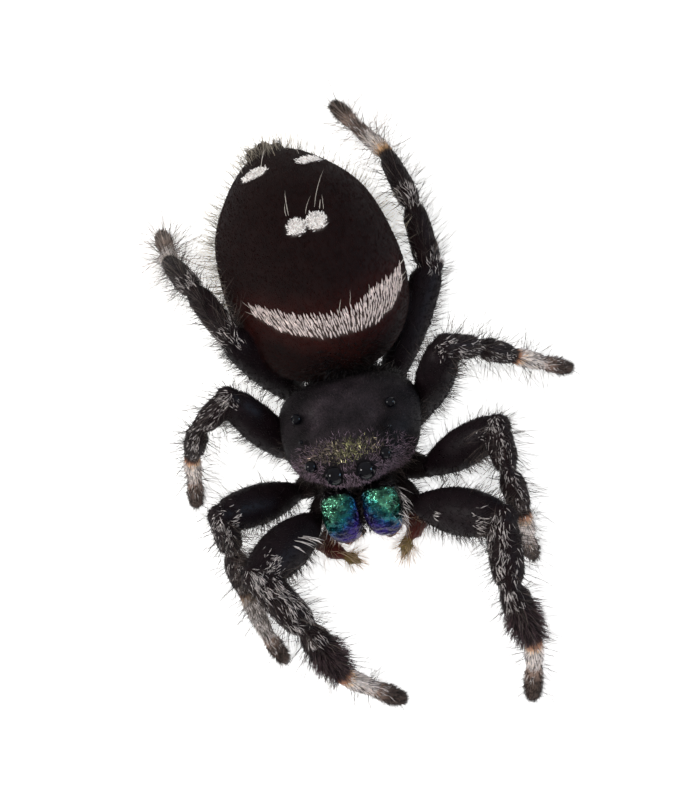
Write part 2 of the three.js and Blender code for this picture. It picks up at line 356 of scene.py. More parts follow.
# Makes a finish from its look. mottle gives the colour: a pattern's kind, size and detail, and
# the tones it runs through. rough is one value, or a grain's low value, reach, size and detail,
# where the low value may be one that the mesh keeps. Each bump is a pattern's kind, size and
# detail, and its strength and depth. tint and roughen may build further on the first two.
def makeFinish(name, look, tint=None, roughen=None):
    def pattern(kind, size, detail):
        return cells(tree, size) if kind == "cells" else grain(tree, size, detail)

    finish = bpy.data.materials.new(name)
    finish.use_nodes = True
    tree = finish.node_tree
    shader = tree.nodes["Principled BSDF"]
    kind, size, detail, stops = look["mottle"]
    base = addRamp(tree, pattern(kind, size, detail), stops)
    if tint:
        base = tint(tree, base)
    tree.links.new(base, shader.inputs["Base Color"])
    if isinstance(look["rough"], tuple):
        low, reach, size, detail = look["rough"]
        low = stored(tree, low) if isinstance(low, str) else low
        rough = calc(tree, "ADD", low, calc(tree, "MULTIPLY", grain(tree, size, detail), reach))
        if roughen:
            rough = roughen(tree, rough)
        tree.links.new(rough, shader.inputs["Roughness"])
    else:
        shader.inputs["Roughness"].default_value = look["rough"]
    for socket, value in look.get("plain", {}).items():
        shader.inputs[socket].default_value = value
    normal = None
    for kind, size, detail, strength, depth in look["bumps"]:
        height = pattern(kind, size, detail)
        bump = addNode(tree, "Bump", {"Height": height}, Strength=strength, Distance=depth * mm)
        if normal:
            tree.links.new(normal, bump.inputs["Normal"])
        normal = bump.outputs["Normal"]
    if normal:
        tree.links.new(normal, shader.inputs["Normal"])
    return finish


# A tint that multiplies the mottle with the tone that a mesh keeps.
def storedTint(name):
    return lambda tree, mottle: blendTones(tree, "MULTIPLY", 1.0, stored(tree, name, "Color"), mottle)


# The head's frame comes from its rear eyes. Head places are left, rearward and up from the
# middle of the head, and spider places from the floor below it.
headPitch = math.radians(15)
headHeight = 2.35
rearEyes = (-0.5, 1.87)
frontLensShare = 0.94  # the front lenses are this much of their CAD balls


def ballOf(node):
    points = np.unique(pointsOf(node).round(4), axis=0)
    system = np.column_stack([2 * points, np.ones(len(points))])
    solved = np.linalg.lstsq(system, (points ** 2).sum(axis=1), rcond=None)[0]
    return solved[:3], math.sqrt(solved[3] + solved[:3] @ solved[:3])


eyeNames = [name + side for name in ("eye_front", "eye_side", "eye_small", "eye_back")
            for side in ("_left", "_right")]
eyes = {name: ballOf(name) for name in eyeNames}
for name in ("eye_front_left", "eye_front_right"):
    eyes[name] = (eyes[name][0], eyes[name][1] * frontLensShare)
headAxes = np.array([[1, 0, 0], [0, math.cos(headPitch), -math.sin(headPitch)],
                     [0, math.sin(headPitch), math.cos(headPitch)]])
headMiddle = (eyes["eye_back_left"][0] + eyes["eye_back_right"][0]) / 2
headMiddle = headMiddle - np.array([0, *rearEyes]) @ headAxes
spiderMiddle = headMiddle - np.array([0, 0, headHeight])


def onHead(at):
    return (at - headMiddle) @ headAxes.T


def offHead(local):
    return np.asarray(local) @ headAxes + headMiddle


# The limbs: every stretch of the body has an axis, taken from where the CAD pieces meet.
segments = ["coxa", "femur", "patella", "tibia", "metatarsus", "tarsus"]
kinds = ["abdomen", "spinnerets", "pedicel", "sternum", *segments, "palp", "palpTip"]
legs = [side + str(number) for side in "lr" for number in (1, 2, 3, 4)]

# Sizes of each pair of legs: where its root is on the head (left, rearward), then the start
# radius and the belly of each segment, and the radius of the tip.
legSizes = {
    1: {"root": (0.85, -1.65), "coxa": (0.41, 0.13), "femur": (0.3, 0.36), "patella": (0.55, 0.06),
        "tibia": (0.54, 0.2), "metatarsus": (0.36, -0.02), "tarsus": (0.29, 0.04), "tip": 0.28,
        "metatarsusLength": 1.45},
    2: {"root": (0.95, -0.75), "coxa": (0.43, 0.13), "femur": (0.3, 0.27), "patella": (0.48, 0.04),
        "tibia": (0.43, 0.08), "metatarsus": (0.34, 0), "tarsus": (0.27, 0.03), "tip": 0.26,
        "metatarsusLength": 1.6},
    3: {"root": (0.95, 0.25), "coxa": (0.43, 0.05), "femur": (0.32, 0.24), "patella": (0.46, 0.03),
        "tibia": (0.41, 0.06), "metatarsus": (0.33, 0), "tarsus": (0.27, 0.03), "tip": 0.26,
        "metatarsusLength": 1.55},
    4: {"root": (0.85, 1.1), "coxa": (0.4, 0.04), "femur": (0.35, 0.2), "patella": (0.49, 0.03),
        "tibia": (0.43, 0.05), "metatarsus": (0.33, -0.02), "tarsus": (0.27, 0.03), "tip": 0.26,
        "metatarsusLength": 2.6},
}
rootHeight = -0.92

# Each palp bends at these places, as left, rearward and up.
palpSizes = {
    "left": [(0.45, -2.4, 1.55), (1.68, -3.35, 1.4), (1.2, -3.7, 1.25), (0.95, -4.15, 1.0)],
    "right": [(-0.45, -2.4, 1.55), (-1.75, -3.45, 1.35), (-1.0, -3.93, 1.2), (-0.62, -4.12, 1.0)],
}
abdomenSizes = {"length": 8.9, "width": 6.25, "height": 5.2, "yaw": 12.5, "place": (-0.72, 6.08, 3.2),
                "ends": 2.25, "ring": 2.15, "taper": 0.1, "rearTaper": 0.16, "sag": 0.92,
                "slope": 0.12, "rearSlope": 0.1, "lean": -0.4}

# How near points of two nodes are where they meet, and how near a foot's points are to its bend
# and to its tip.
reaches = {"meeting": 0.1, "bend": 0.12, "tip": 0.3}

stretches = []
stretchesOf = {}


def addStretch(node, kind, start, end, number=0, hand=0):
    start, end = np.array(start, float), np.array(end, float)
    length, axis, dorsal, side = frameOf(start, end)
    stretchesOf.setdefault(node, []).append(len(stretches))
    stretches.append({"kind": kinds.index(kind), "start": start, "end": end, "length": length,
                      "axis": axis, "dorsal": dorsal, "side": side, "number": number, "hand": hand})


def meetingOf(first, second):
    a = pointsOf(first)
    b = pointsOf(second)
    gap = np.linalg.norm(a[:, None] - b[None], axis=2).min(axis=1)
    return a[gap < reaches["meeting"]].mean(axis=0)


def legNodes(leg):
    return [part + leg for part in ("coxa_", "femur_", "patella_", "tibia_", "foot_")]


# Points spread over a node's surface.
def surfaceOf(node, rng, amount=6000):
    corners = pointsOf(node)[trianglesOf(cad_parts[node])]
    area = areasOf(corners)
    c = corners[rng.choice(len(corners), amount, p=area / area.sum())]
    a, b = randomShares(amount, rng)
    return c[:, 0] + (c[:, 1] - c[:, 0]) * a[:, None] + (c[:, 2] - c[:, 0]) * b[:, None]


def findStretches():
    rng = np.random.default_rng(seeds["joints"])
    yaw = math.radians(abdomenSizes["yaw"])
    rear = np.array([-math.sin(yaw), math.cos(yaw), 0]) * abdomenSizes["length"] / 2
    low, high = boxOf("abdomen")
    middle = (low + high) / 2
    addStretch("abdomen", "abdomen", middle - rear, middle + rear)
    for node in ("spinnerets", "pedicel", "sternum"):
        low, high = boxOf(node)
        middle = (low + high) / 2
        half = np.array([0, (high[1] - low[1]) / 2, 0])
        addStretch(node, node, middle - half, middle + half)
    for leg in legs:
        number = int(leg[1])
        hand = 1 if leg[0] == "l" else -1
        sizes = legSizes[number]
        coxa, femur, patella, tibia, foot = legNodes(leg)
        rootX, rootY = sizes["root"]
        ankle = meetingOf(foot, tibia)
        footPoints = surfaceOf(foot, rng)
        away = np.linalg.norm(footPoints - ankle, axis=1)
        bend = footPoints[abs(away - sizes["metatarsusLength"]) < reaches["bend"]].mean(axis=0)
        tip = footPoints[away > away.max() - reaches["tip"]].mean(axis=0)
        bends = [offHead([hand * rootX, rootY, rootHeight]), meetingOf(femur, coxa),
                 meetingOf(patella, femur), meetingOf(tibia, patella), ankle, bend, tip]
        nodes = [coxa, femur, patella, tibia, foot, foot]
        for node, kind, start, end in zip(nodes, segments, bends, bends[1:]):
            addStretch(node, kind, start, end, number, hand)
    for side, hand in (("left", 1), ("right", -1)):
        bends = np.array(palpSizes[side]) + spiderMiddle
        for kind, start, end in zip(("palp", "palp", "palpTip"), bends, bends[1:]):
            addStretch("palp_" + side, kind, start, end, 0, hand)


# The stretches of some nodes, each with its place in their order.
def orderOf(nodes):
    found = [stretch for node in nodes for stretch in stretchesOf[node]]
    return {stretch: index for index, stretch in enumerate(found)}


findStretches()
fleshNodes = sorted(stretchesOf)
stretchTable = {key: np.array([s[key] for s in stretches]) for key in stretches[0]}
print("limbs found:", len(stretches), "stretches on", len(fleshNodes), "nodes")


# Says where points are: on which stretch, how far along it (t), and at what angle round it,
# in degrees, with 0 at the back and 90 towards the stretch's own side.
def describe(at, node):
    best = np.full(len(at), np.inf)
    found = np.zeros(len(at), int)
    for index, name in enumerate(fleshNodes):
        here = np.nonzero(node == index)[0]
        for stretch in stretchesOf[name]:
            s = stretches[stretch]
            offset = at[here] - s["start"]
            along = np.clip(offset @ s["axis"], 0, s["length"])
            distance = np.linalg.norm(offset - along[:, None] * s["axis"], axis=1)
            closer = distance < best[here]
            best[here[closer]] = distance[closer]
            found[here[closer]] = stretch
    offset = at - stretchTable["start"][found]
    axis = stretchTable["axis"][found]
    across = (offset * stretchTable["side"][found]).sum(axis=1)
    above = (offset * stretchTable["dorsal"][found]).sum(axis=1)
    return {"at": at, "node": node, "stretch": found, "kind": stretchTable["kind"][found],
            "number": stretchTable["number"][found], "hand": stretchTable["hand"][found],
            "t": (offset * axis).sum(axis=1) / stretchTable["length"][found], "axis": axis,
            "around": np.degrees(np.arctan2(across, above))}


def byKind(where, table, default=0.0):
    values = np.array([table.get(kind, default) for kind in kinds], float)
    return values[where["kind"]]


def isKind(where, *names):
    return np.isin(where["kind"], [kinds.index(name) for name in names])


# The white marks of the abdomen: a band round its front, given by the angle round it and the t
# of its two edges, and balls that make the four spots, given as left, rearward and up from its
# middle, and the radius. All that is white ahead of bandEnds belongs to the band.
marks = {
    "band": [(-55, 0.28, 0.315), (-44, 0.175, 0.262), (-33, 0.126, 0.208), (-16, 0.083, 0.157),
             (8, 0.068, 0.13), (30, 0.068, 0.135), (50, 0.083, 0.197), (64, 0.13, 0.235),
             (75, 0.2, 0.29), (78, 0.25, 0.3)],
    "bandEdge": (-0.005, 0.004), "bandSpacing": (0.052, 0.115), "bandEnds": 0.45,
    "spots": [(0.1, 0.2, 2.41, 0.34), (0.8, 0.17, 2.33, 0.36), (-0.88, 3.12, 1.4, 0.27),
              (-0.66, 3.12, 1.46, 0.3), (-0.44, 3.1, 1.53, 0.27), (1.08, 2.94, 1.4, 0.24),
              (1.28, 2.98, 1.2, 0.27), (1.47, 3.04, 0.98, 0.24)],
    "spotEdge": (-0.03, 0.03),
}

abdomenStretch = stretches[stretchesOf["abdomen"][0]]
abdomenMiddle = (abdomenStretch["start"] + abdomenStretch["end"]) / 2
abdomenAxes = np.stack([abdomenStretch[key] for key in ("side", "axis", "dorsal")])


def onAbdomen(at):
    return (at - abdomenMiddle) @ abdomenAxes.T


def offAbdomen(local):
    return abdomenMiddle + np.asarray(local) @ abdomenAxes


# How far a place is inside the white band, from its front and its rear edge.
def insideBand(t, around):
    turns, front, rear = np.array(marks["band"]).T
    return np.minimum(t - np.interp(around, turns, front), np.interp(around, turns, rear) - t)


# How warm the dark ground is: it glows a little round the white band.
def warmth(where):
    near = smooth(insideBand(where["t"], where["around"]), -0.14, 0.0)
    return near * smooth(-abs(where["around"]), -95, -60)


# 1 on a white mark, 0 off it, with a soft edge. inset makes the marks that much smaller.
def whiteness(at, inset=0.0):
    local = onAbdomen(at)
    around = np.degrees(np.arctan2(local[:, 0], local[:, 2]))
    t = local[:, 1] / abdomenSizes["length"] + 0.5
    first, last = marks["band"][0][0], marks["band"][-1][0]
    depth = insideBand(t, around) - inset / abdomenSizes["length"]
    white = smooth(depth, *marks["bandEdge"]) * (around > first) * (around < last)
    for x, y, z, radius in marks["spots"]:
        away = np.linalg.norm(local - np.array([x, y, z]), axis=1)
        white = np.maximum(white, smooth(radius - inset - away, *marks["spotEdge"]))
    return white


# The skin: one closed surface under the coat, from the abdomen to the feet and the palps. It is
# coatDepth inside the sizes above, and brushDepth more at the front shins, which carry a brush.
# palp gives the two radii and the belly of each stretch, and spinnerets the place from
# the middle of the abdomen's rear end, the reach and the radius of each.
skinSizes = {
    "voxel": 0.081, "relaxing": 6, "lowest": 0.01, "toneSpread": 2, "glossSpread": 4,
    "coatDepth": {"abdomen": 0.06, "sternum": 0.03, "coxa": 0.0, "femur": 0.0, "patella": 0.05,
                  "tibia": 0.06, "metatarsus": 0.02, "tarsus": 0.03},
    "pinch": {"coxa": 0.03, "femur": 0.24, "patella": 0.34, "tibia": 0.36, "metatarsus": 0.16,
              "tarsus": 0.08},
    "femurSection": (1.0, 1.06), "brushDepth": 0.12,
    "palp": [(0.28, 0.24, 0.05), (0.25, 0.19, 0.08), (0.2, 0.13, 0.08)], "palpPinch": 0.3,
    "sternum": {"length": 3.6, "width": 1.8, "bottom": -1.4, "top": -0.4, "place": -0.35,
                "squareness": 3, "taper": 0.18, "widest": -0.1},
    "pedicel": {"radii": (0.36, 0.42), "start": (0, 2.2, -0.42), "end": (-0.05, 3.4, 1.7)},
    "spinnerets": [(0.35, 0.0, 0.2, 0.46), (-0.4, 0.0, 0.32, 0.46), (0.3, -0.45, 0.2, 0.36),
                   (-0.3, -0.45, 0.24, 0.36), (-0.02, 0.32, 0.18, 0.5)],
    "spinneretCone": {"rootShare": 0.8, "rootDepth": 0.5, "wider": 1.05, "higher": 1.1, "rise": 0.05,
                      "tipDepth": 0.22, "tipShare": 0.62, "belly": 0.02},
    "ownerPoints": {"abdomen": 30000, "others": 3000},
}

skinTones = {
    "abdomen": (0.0085, 0.003, 0.003), "spinnerets": (0.012, 0.008, 0.006),
    "pedicel": (0.01, 0.006, 0.006), "sternum": (0.008, 0.005, 0.005), "coxa": (0.007, 0.004, 0.004),
    "femur": (0.0085, 0.0045, 0.0065), "patella": (0.012, 0.006, 0.007), "tibia": (0.012, 0.006, 0.007),
    "metatarsus": (0.62, 0.5, 0.45), "tarsus": (0.33, 0.23, 0.19), "palp": (0.07, 0.014, 0.011),
    "palpTip": (0.16, 0.12, 0.045),
}
# How rough the skin is on each kind of stretch.
skinGloss = {"abdomen": 0.7, "femur": 0.46, "palp": 0.3, "others": 0.5}

# The feet: a rust ring at the ankle that fades through tan to pale, and a dark end. The hind
# pair has a stronger ring and dusk further down. The right hind foot has lost its colours, and
# the second one on the right is darker.
footTones = {
    "rust": (0.42, 0.2, 0.12), "hindRust": (0.5, 0.3, 0.16), "tan": (0.78, 0.56, 0.39),
    "pale": (0.82, 0.74, 0.69), "dusk": (0.13, 0.085, 0.07), "dark": (0.095, 0.066, 0.056),
    "faded": (0.3, 0.26, 0.23), "fadedRust": 0.7, "fadedTan": 0.8, "shaded": 0.3,
}
abdomenTones = {"warm": (0.026, 0.006, 0.005), "underBand": (0.08, 0.06, 0.056),
                "underSpots": (0.8, 0.75, 0.73), "glow": (2.1, 1.2, 1.1), "inset": 0.06,
                "warmShare": 0.8}


# The colours of the feet, laid over the tone of the legs.
def footTone(where, tone):
    t = where["t"][:, None]
    foot = {name: np.array(value) for name, value in footTones.items()}
    isHind = (where["number"] == 4)[:, None]
    isFaded = isHind & (where["hand"] < 0)[:, None]
    isShaded = ((where["number"] == 2) & (where["hand"] < 0))[:, None]
    rust = np.where(isHind, foot["hindRust"], foot["rust"])
    isShin = isKind(where, "tibia")[:, None] & ~isFaded
    tone = np.where(isShin, mix(tone, rust, smooth(t, 0.95, 1.0)), tone)
    rust = np.where(isFaded, foot["pale"] * foot["fadedRust"], rust)
    tan = np.where(isFaded, foot["pale"] * foot["fadedTan"], foot["tan"])
    dark = np.where(isFaded, foot["faded"], foot["dark"])
    ankle = mix(mix(rust, tan, smooth(t, 0.0, 0.12)), foot["pale"], smooth(t, 0.12, 0.3))
    ankle = np.where(isHind & ~isFaded, mix(ankle, foot["dusk"], smooth(t, 0.3, 0.65)), ankle)
    ankle = np.where(isShaded, ankle * foot["shaded"], ankle)
    lower = mix(ankle, np.minimum(ankle, skinTones["metatarsus"]), smooth(t, 0.55, 1.0))
    tone = np.where(isKind(where, "metatarsus")[:, None], lower, tone)
    return np.where(isKind(where, "tarsus")[:, None], mix(tone, dark, smooth(t, 0.05, 0.5)), tone)


def skinTone(where):
    tone = np.array([skinTones[kind] for kind in kinds])[where["kind"]]
    tone = footTone(where, tone)
    isAbdomen = isKind(where, "abdomen")
    white = np.where(isAbdomen, whiteness(where["at"], abdomenTones["inset"]), 0)[:, None]
    warm = np.where(isAbdomen, warmth(where), 0)[:, None]
    tone = mix(tone, np.array(abdomenTones["warm"]), warm * abdomenTones["warmShare"])
    onBand = (where["t"] < marks["bandEnds"])[:, None]
    under = np.where(onBand, np.array(abdomenTones["underBand"]), np.array(abdomenTones["underSpots"]))
    return mix(tone, under, white ** 3)


# From left, rearward and up of the abdomen's middle to the spider's own place.
def hindPlace(local):
    yaw = math.radians(abdomenSizes["yaw"])
    c, s = math.cos(yaw), math.sin(yaw)
    turned = np.asarray(local) @ np.array([[c, s, 0], [-s, c, 0], [0, 0, 1]])
    return turned + np.array(abdomenSizes["place"]) + spiderMiddle


def abdomenShape(u, t, v):
    sizes = abdomenSizes
    depth = skinSizes["coatDepth"]["abdomen"]
    rear = smooth(t, 0.35, 1)
    halfWidth = (sizes["width"] / 2 - depth) * (1 - sizes["taper"] * t - sizes["rearTaper"] * rear)
    sag = np.where(v < 0, sizes["sag"], 1)
    halfHeight = (sizes["height"] / 2 - depth) * sag * (1 - sizes["slope"] * t - sizes["rearSlope"] * rear)
    halfLength = sizes["length"] / 2 - depth
    lean = sizes["lean"] * v * smooth(-t, 0, 1)
    return hindPlace(np.stack([u * halfWidth, t * halfLength + lean, v * halfHeight], axis=1))


def sternumShape(u, t, v):
    sizes = skinSizes["sternum"]
    narrow = 1 - sizes["taper"] * (t - sizes["widest"]) ** 2
    x = u * narrow * sizes["width"] / 2
    y = sizes["place"] + t * sizes["length"] / 2
    z = mix(sizes["bottom"], sizes["top"], (v + 1) / 2)
    return offHead(np.stack([x, y, z], axis=1))


def legBodies(leg):
    sizes = legSizes[int(leg[1])]
    pieces = []
    for index, stretch in enumerate(orderOf(legNodes(leg))):
        s = stretches[stretch]
        kind = segments[index]
        depth = skinSizes["coatDepth"][kind]
        startRadius, belly = sizes[kind]
        endRadius = sizes["tip"] if kind == "tarsus" else sizes[segments[index + 1]][0]
        if leg[1] == "1" and kind == "tibia":
            belly -= skinSizes["brushDepth"]
        section = skinSizes["femurSection"] if kind == "femur" else (1, 1)
        pieces.append(limb(kind, s["start"], s["end"], startRadius - depth, endRadius - depth, belly,
                           section, skinSizes["pinch"][kind]))
    return pieces


def spinneretBodies():
    cone = skinSizes["spinneretCone"]
    rear = abdomenSizes["length"] / 2
    pieces = []
    for x, z, reach, radius in skinSizes["spinnerets"]:
        root = [x * cone["rootShare"], rear - cone["rootDepth"], z * cone["rootShare"]]
        tip = [x * cone["wider"], rear + reach - cone["tipDepth"], z * cone["higher"] + cone["rise"]]
        pieces.append(limb("spinneretBody", hindPlace(root), hindPlace(tip), radius,
                           radius * cone["tipShare"], cone["belly"], pinch=0))
    return pieces


def skinBodies():
    squareness = skinSizes["sternum"]["squareness"]
    pieces = [roundedBody("abdomenBody", abdomenSizes["ends"], abdomenSizes["ring"], abdomenShape)]
    pieces.append(roundedBody("sternumBody", squareness, squareness, sternumShape))
    pedicel = skinSizes["pedicel"]
    pedicelEnd = np.array(pedicel["end"]) + spiderMiddle
    pieces.append(limb("pedicelBody", offHead(pedicel["start"]), pedicelEnd, *pedicel["radii"], 0))
    pieces += spinneretBodies()
    for leg in legs:
        pieces += legBodies(leg)
    for side in ("left", "right"):
        for index, stretch in enumerate(stretchesOf["palp_" + side]):
            s = stretches[stretch]
            pieces.append(limb("palpBody", s["start"], s["end"], *skinSizes["palp"][index],
                               pinch=skinSizes["palpPinch"]))
    return pieces


# The CAD node that each point of the skin belongs to.
def nearestNode(at):
    rng = np.random.default_rng(seeds["owners"])
    amounts = skinSizes["ownerPoints"]
    clouds = [surfaceOf(node, rng, amounts.get(node, amounts["others"])) for node in fleshNodes]
    owners = np.repeat(np.arange(len(clouds)), [len(cloud) for cloud in clouds])
    places = np.concatenate(clouds)
    tree = KDTree(len(places))
    for index, place in enumerate(places):
        tree.insert(place, index)
    tree.balance()
    return owners[[tree.find(point)[1] for point in at]]


def makeSkin():
    piece = joinPieces(skinBodies(), "skin")
    remesh(piece, skinSizes["voxel"])
    relax(piece, skinSizes["relaxing"])
    points = coordinates(piece)
    points[:, 2] = np.maximum(points[:, 2], skinSizes["lowest"])
    setCoordinates(piece, points)
    where = describe(points, nearestNode(points))
    edges = edgesOf(piece)
    tone = skinTone(where)
    tone = np.stack([spread(tone[:, i], edges, skinSizes["toneSpread"]) for i in range(3)], axis=1)
    storeTone(piece, "skinTone", tone)
    gloss = byKind(where, skinGloss, skinGloss["others"])
    storeValue(piece, "skinGloss", spread(gloss, edges, skinSizes["glossSpread"]))
    closeShape(piece)
    print("skin:", len(piece.data.vertices), "points, lowest", points[:, 2].min().round(3))
    return piece, where["node"]


skinLook = {
    "mottle": ("grain", 0.4, 4, [(0.3, (0.7, 0.7, 0.7)), (0.7, (1.25, 1.2, 1.15))]),
    "rough": ("skinGloss", 0.2, 0.08, 3), "plain": {"Specular IOR Level": 0.12},
    "bumps": [("grain", 0.25, 3, 0.4, 0.02), ("cells", 0.045, 0, 0.35, 0.006)],
}
skin, skinNodes = makeSkin()
finishPiece(skin, makeFinish("skinFinish", skinLook, storedTint("skinTone")), fleshNodes)


# Where hairs may grow on a piece: its triangles, their areas, and the node under each.
def groundOf(piece, nodes=None):
    triangles = trianglesOf(piece)
    points = coordinates(piece) / mm
    node = nodes[triangles[:, 0]] if nodes is not None else np.zeros(len(triangles), int)
    return {"points": points, "normals": normalsOf(piece), "triangles": triangles, "node": node,
            "area": areasOf(points[triangles])}


def scatter(ground, chosen, perSquare, rng):
    area = ground["area"][chosen]
    amount = int(perSquare * area.sum())
    picks = rng.choice(chosen, amount, p=area / area.sum())
    a, b = randomShares(amount, rng)
    share = np.stack([1 - a - b, a, b], axis=1)[:, :, None]
    corners = ground["triangles"][picks]
    at = (ground["points"][corners] * share).sum(axis=1)
    normal = unit((ground["normals"][corners] * share).sum(axis=1))
    return at, normal, ground["node"][picks]


def keep(where, chosen):
    return {key: value[chosen] for key, value in where.items()}


# What a layer of hair has unless it says otherwise. perSquare is the hairs to a square
# millimetre, lift and spread are in degrees, shape is the width at each ring before the tip,
# and root and tip say how much of its tone a hair has at its two ends.
usualHair = {"shape": (1.0, 0.8), "spread": 12, "sway": 0.15, "fall": 0.5, "sink": 0.02,
             "thickness": 0.7, "vary": (0.8, 1.2), "root": 0.8, "tip": 1.2}
hairFloor = 0.012  # no hair goes lower than this
hairPatch = 0.003  # the share of the map that one hair takes up
hairFade = 1.5  # how late along a hair the tone of its tip comes


# A layer of hairs. Each is a closed, three-sided, tapering strand that leaves the skin at its
# lift, falls back towards the lie of the coat, and bends a little to the side. It is a small
# patch at its root's place in the map.
def strands(where, layer, rng, tone, uv, tipTone=None):
    count = len(where["at"])
    layer = {**usualHair, **layer}
    rootTone = tone * layer["root"]
    if tipTone is None:
        tipTone = tone * layer["tip"]
    shape = layer["shape"]
    rings = len(shape)
    normal = where["normal"]
    flow = unit(where["flow"] - normal * (where["flow"] * normal).sum(axis=1, keepdims=True))
    side = np.cross(flow, normal)
    turn = np.radians(rng.normal(0, layer["spread"], count) + where.get("swirl", 0))[:, None]
    flow, side = flow * np.cos(turn) + side * np.sin(turn), side * np.cos(turn) - flow * np.sin(turn)
    length = rng.uniform(*layer["length"], count) * where.get("reach", 1)
    width = layer["width"] * rng.uniform(*layer["vary"], count)
    lift = np.radians(rng.uniform(*layer["lift"], count))
    sway = rng.normal(0, layer["sway"], count)
    place = where["at"] - normal * layer["sink"]
    points = np.empty((count, 3 * rings + 1, 3))
    for ring in range(rings + 1):
        s = ring / rings
        angle = (lift * (1 - layer["fall"] * s))[:, None]
        ahead = unit(np.cos(angle) * flow + np.sin(angle) * normal + side * (sway * s)[:, None])
        over = unit(np.cross(side, ahead))
        if ring < rings:
            half = (width * shape[ring] / 2)[:, None]
            points[:, 3 * ring] = place - side * half
            points[:, 3 * ring + 1] = place + side * half
            points[:, 3 * ring + 2] = place + over * half * 2 * layer["thickness"]
            place = place + ahead * (length / rings)[:, None]
        else:
            points[:, 3 * ring] = place
    points[:, :, 2] = np.maximum(points[:, :, 2], hairFloor)
    step = np.append(np.repeat(np.arange(rings), 3) / rings, 1.0)[None, :, None]
    tones = mix(rootTone[:, None, :], tipTone[:, None, :], step ** hairFade)
    across = np.append(np.tile([0, 1, 0.5], rings), 0.5)
    offset = np.stack([step[0, :, 0], across], axis=1) * hairPatch
    places = uv[:, None, :] * (1 - hairPatch) + offset[None]
    faces = [(0, 1, 2)]
    for ring in range(rings):
        for k in range(3):
            a = 3 * ring + k
            b = 3 * ring + (k + 1) % 3
            if ring < rings - 1:
                faces.append((b, a, a + 3))
                faces.append((b, a + 3, b + 3))
            else:
                faces.append((b, a, 3 * rings))
    base = (np.arange(count) * (3 * rings + 1))[:, None, None]
    triangles = (base + np.array(faces)[None]).reshape(-1, 3)
    return {"points": points.reshape(-1, 3), "tones": tones.reshape(-1, 3), "map": places.reshape(-1, 2),
            "triangles": triangles}


# Joins layers of strands into one coat piece, with its OFBake map and its tones.
def makeCoat(name, layers, finish):
    points, tones, places = [np.concatenate([layer[key] for layer in layers])
                             for key in ("points", "tones", "map")]
    starts = np.cumsum([0] + [len(layer["points"]) for layer in layers])
    triangles = np.concatenate([layer["triangles"] + start for layer, start in zip(layers, starts)])
    mesh = bpy.data.meshes.new(name)
    mesh.vertices.add(len(points))
    mesh.vertices.foreach_set("co", (points * mm).astype(np.float32).ravel())
    mesh.loops.add(len(triangles) * 3)
    mesh.loops.foreach_set("vertex_index", triangles.astype(np.int32).ravel())
    mesh.polygons.add(len(triangles))
    mesh.polygons.foreach_set("loop_start", np.arange(0, len(triangles) * 3, 3, dtype=np.int32))
    mesh.polygons.foreach_set("use_smooth", np.ones(len(triangles), bool))
    mesh.update(calc_edges=True)
    piece = bpy.data.objects.new(name, mesh)
    linkPiece(piece, name)
    storeTone(piece, "coatTone", tones)
    mapLayer = mesh.uv_layers.new(name="OFBake")
    mapLayer.data.foreach_set("uv", places[triangles.ravel()].astype(np.float32).ravel())
    finishPiece(piece, finish)
    print(name + ":", len(triangles), "triangles")


# Hair has a little gloss, and the velvet of the abdomen hardly any.
coatLook = {
    "mottle": ("grain", 0.15, 2, [(0.3, (0.75, 0.75, 0.75)), (0.7, (1.2, 1.2, 1.2))]),
    "rough": (0.4, 0.25, 0.06, 2), "bumps": [("grain", 0.012, 2, 0.3, 0.002)],
}
hairGloss = {"plain": {"Specular IOR Level": 0.2}}
velvetGloss = {"plain": {"Specular IOR Level": 0.05}}
hairFinish = makeFinish("hairFinish", {**coatLook, **hairGloss}, storedTint("coatTone"))
velvetFinish = makeFinish("velvetFinish", {**coatLook, **velvetGloss}, storedTint("coatTone"))
skinGround = groundOf(skin, skinNodes)


def varied(rng, count, tone, shade=0.25):
    return np.array(tone)[None, :] * np.exp(rng.normal(0, shade, (count, 1)))


def skinWhere(nodes, perSquare, rng):
    wanted = np.isin(skinGround["node"], [fleshNodes.index(node) for node in nodes])
    at, normal, node = scatter(skinGround, np.nonzero(wanted)[0], perSquare, rng)
    where = describe(at, node)
    where["normal"] = normal
    where["flow"] = where["axis"]
    return where


# The unwrap of limbs: each stretch is a column of the map, with a margin, along it and round it.
def limbMap(where, order, margin=0.06):
    column = np.array([order.get(i, 0) for i in range(len(stretches))])[where["stretch"]]
    u = (column + np.clip(where["t"], -0.05, 1.05) * (1 - 2 * margin) + margin) / len(order)
    v = (where["around"] + 180) / 360
    return np.clip(np.stack([u, v], axis=1), 0, 1)


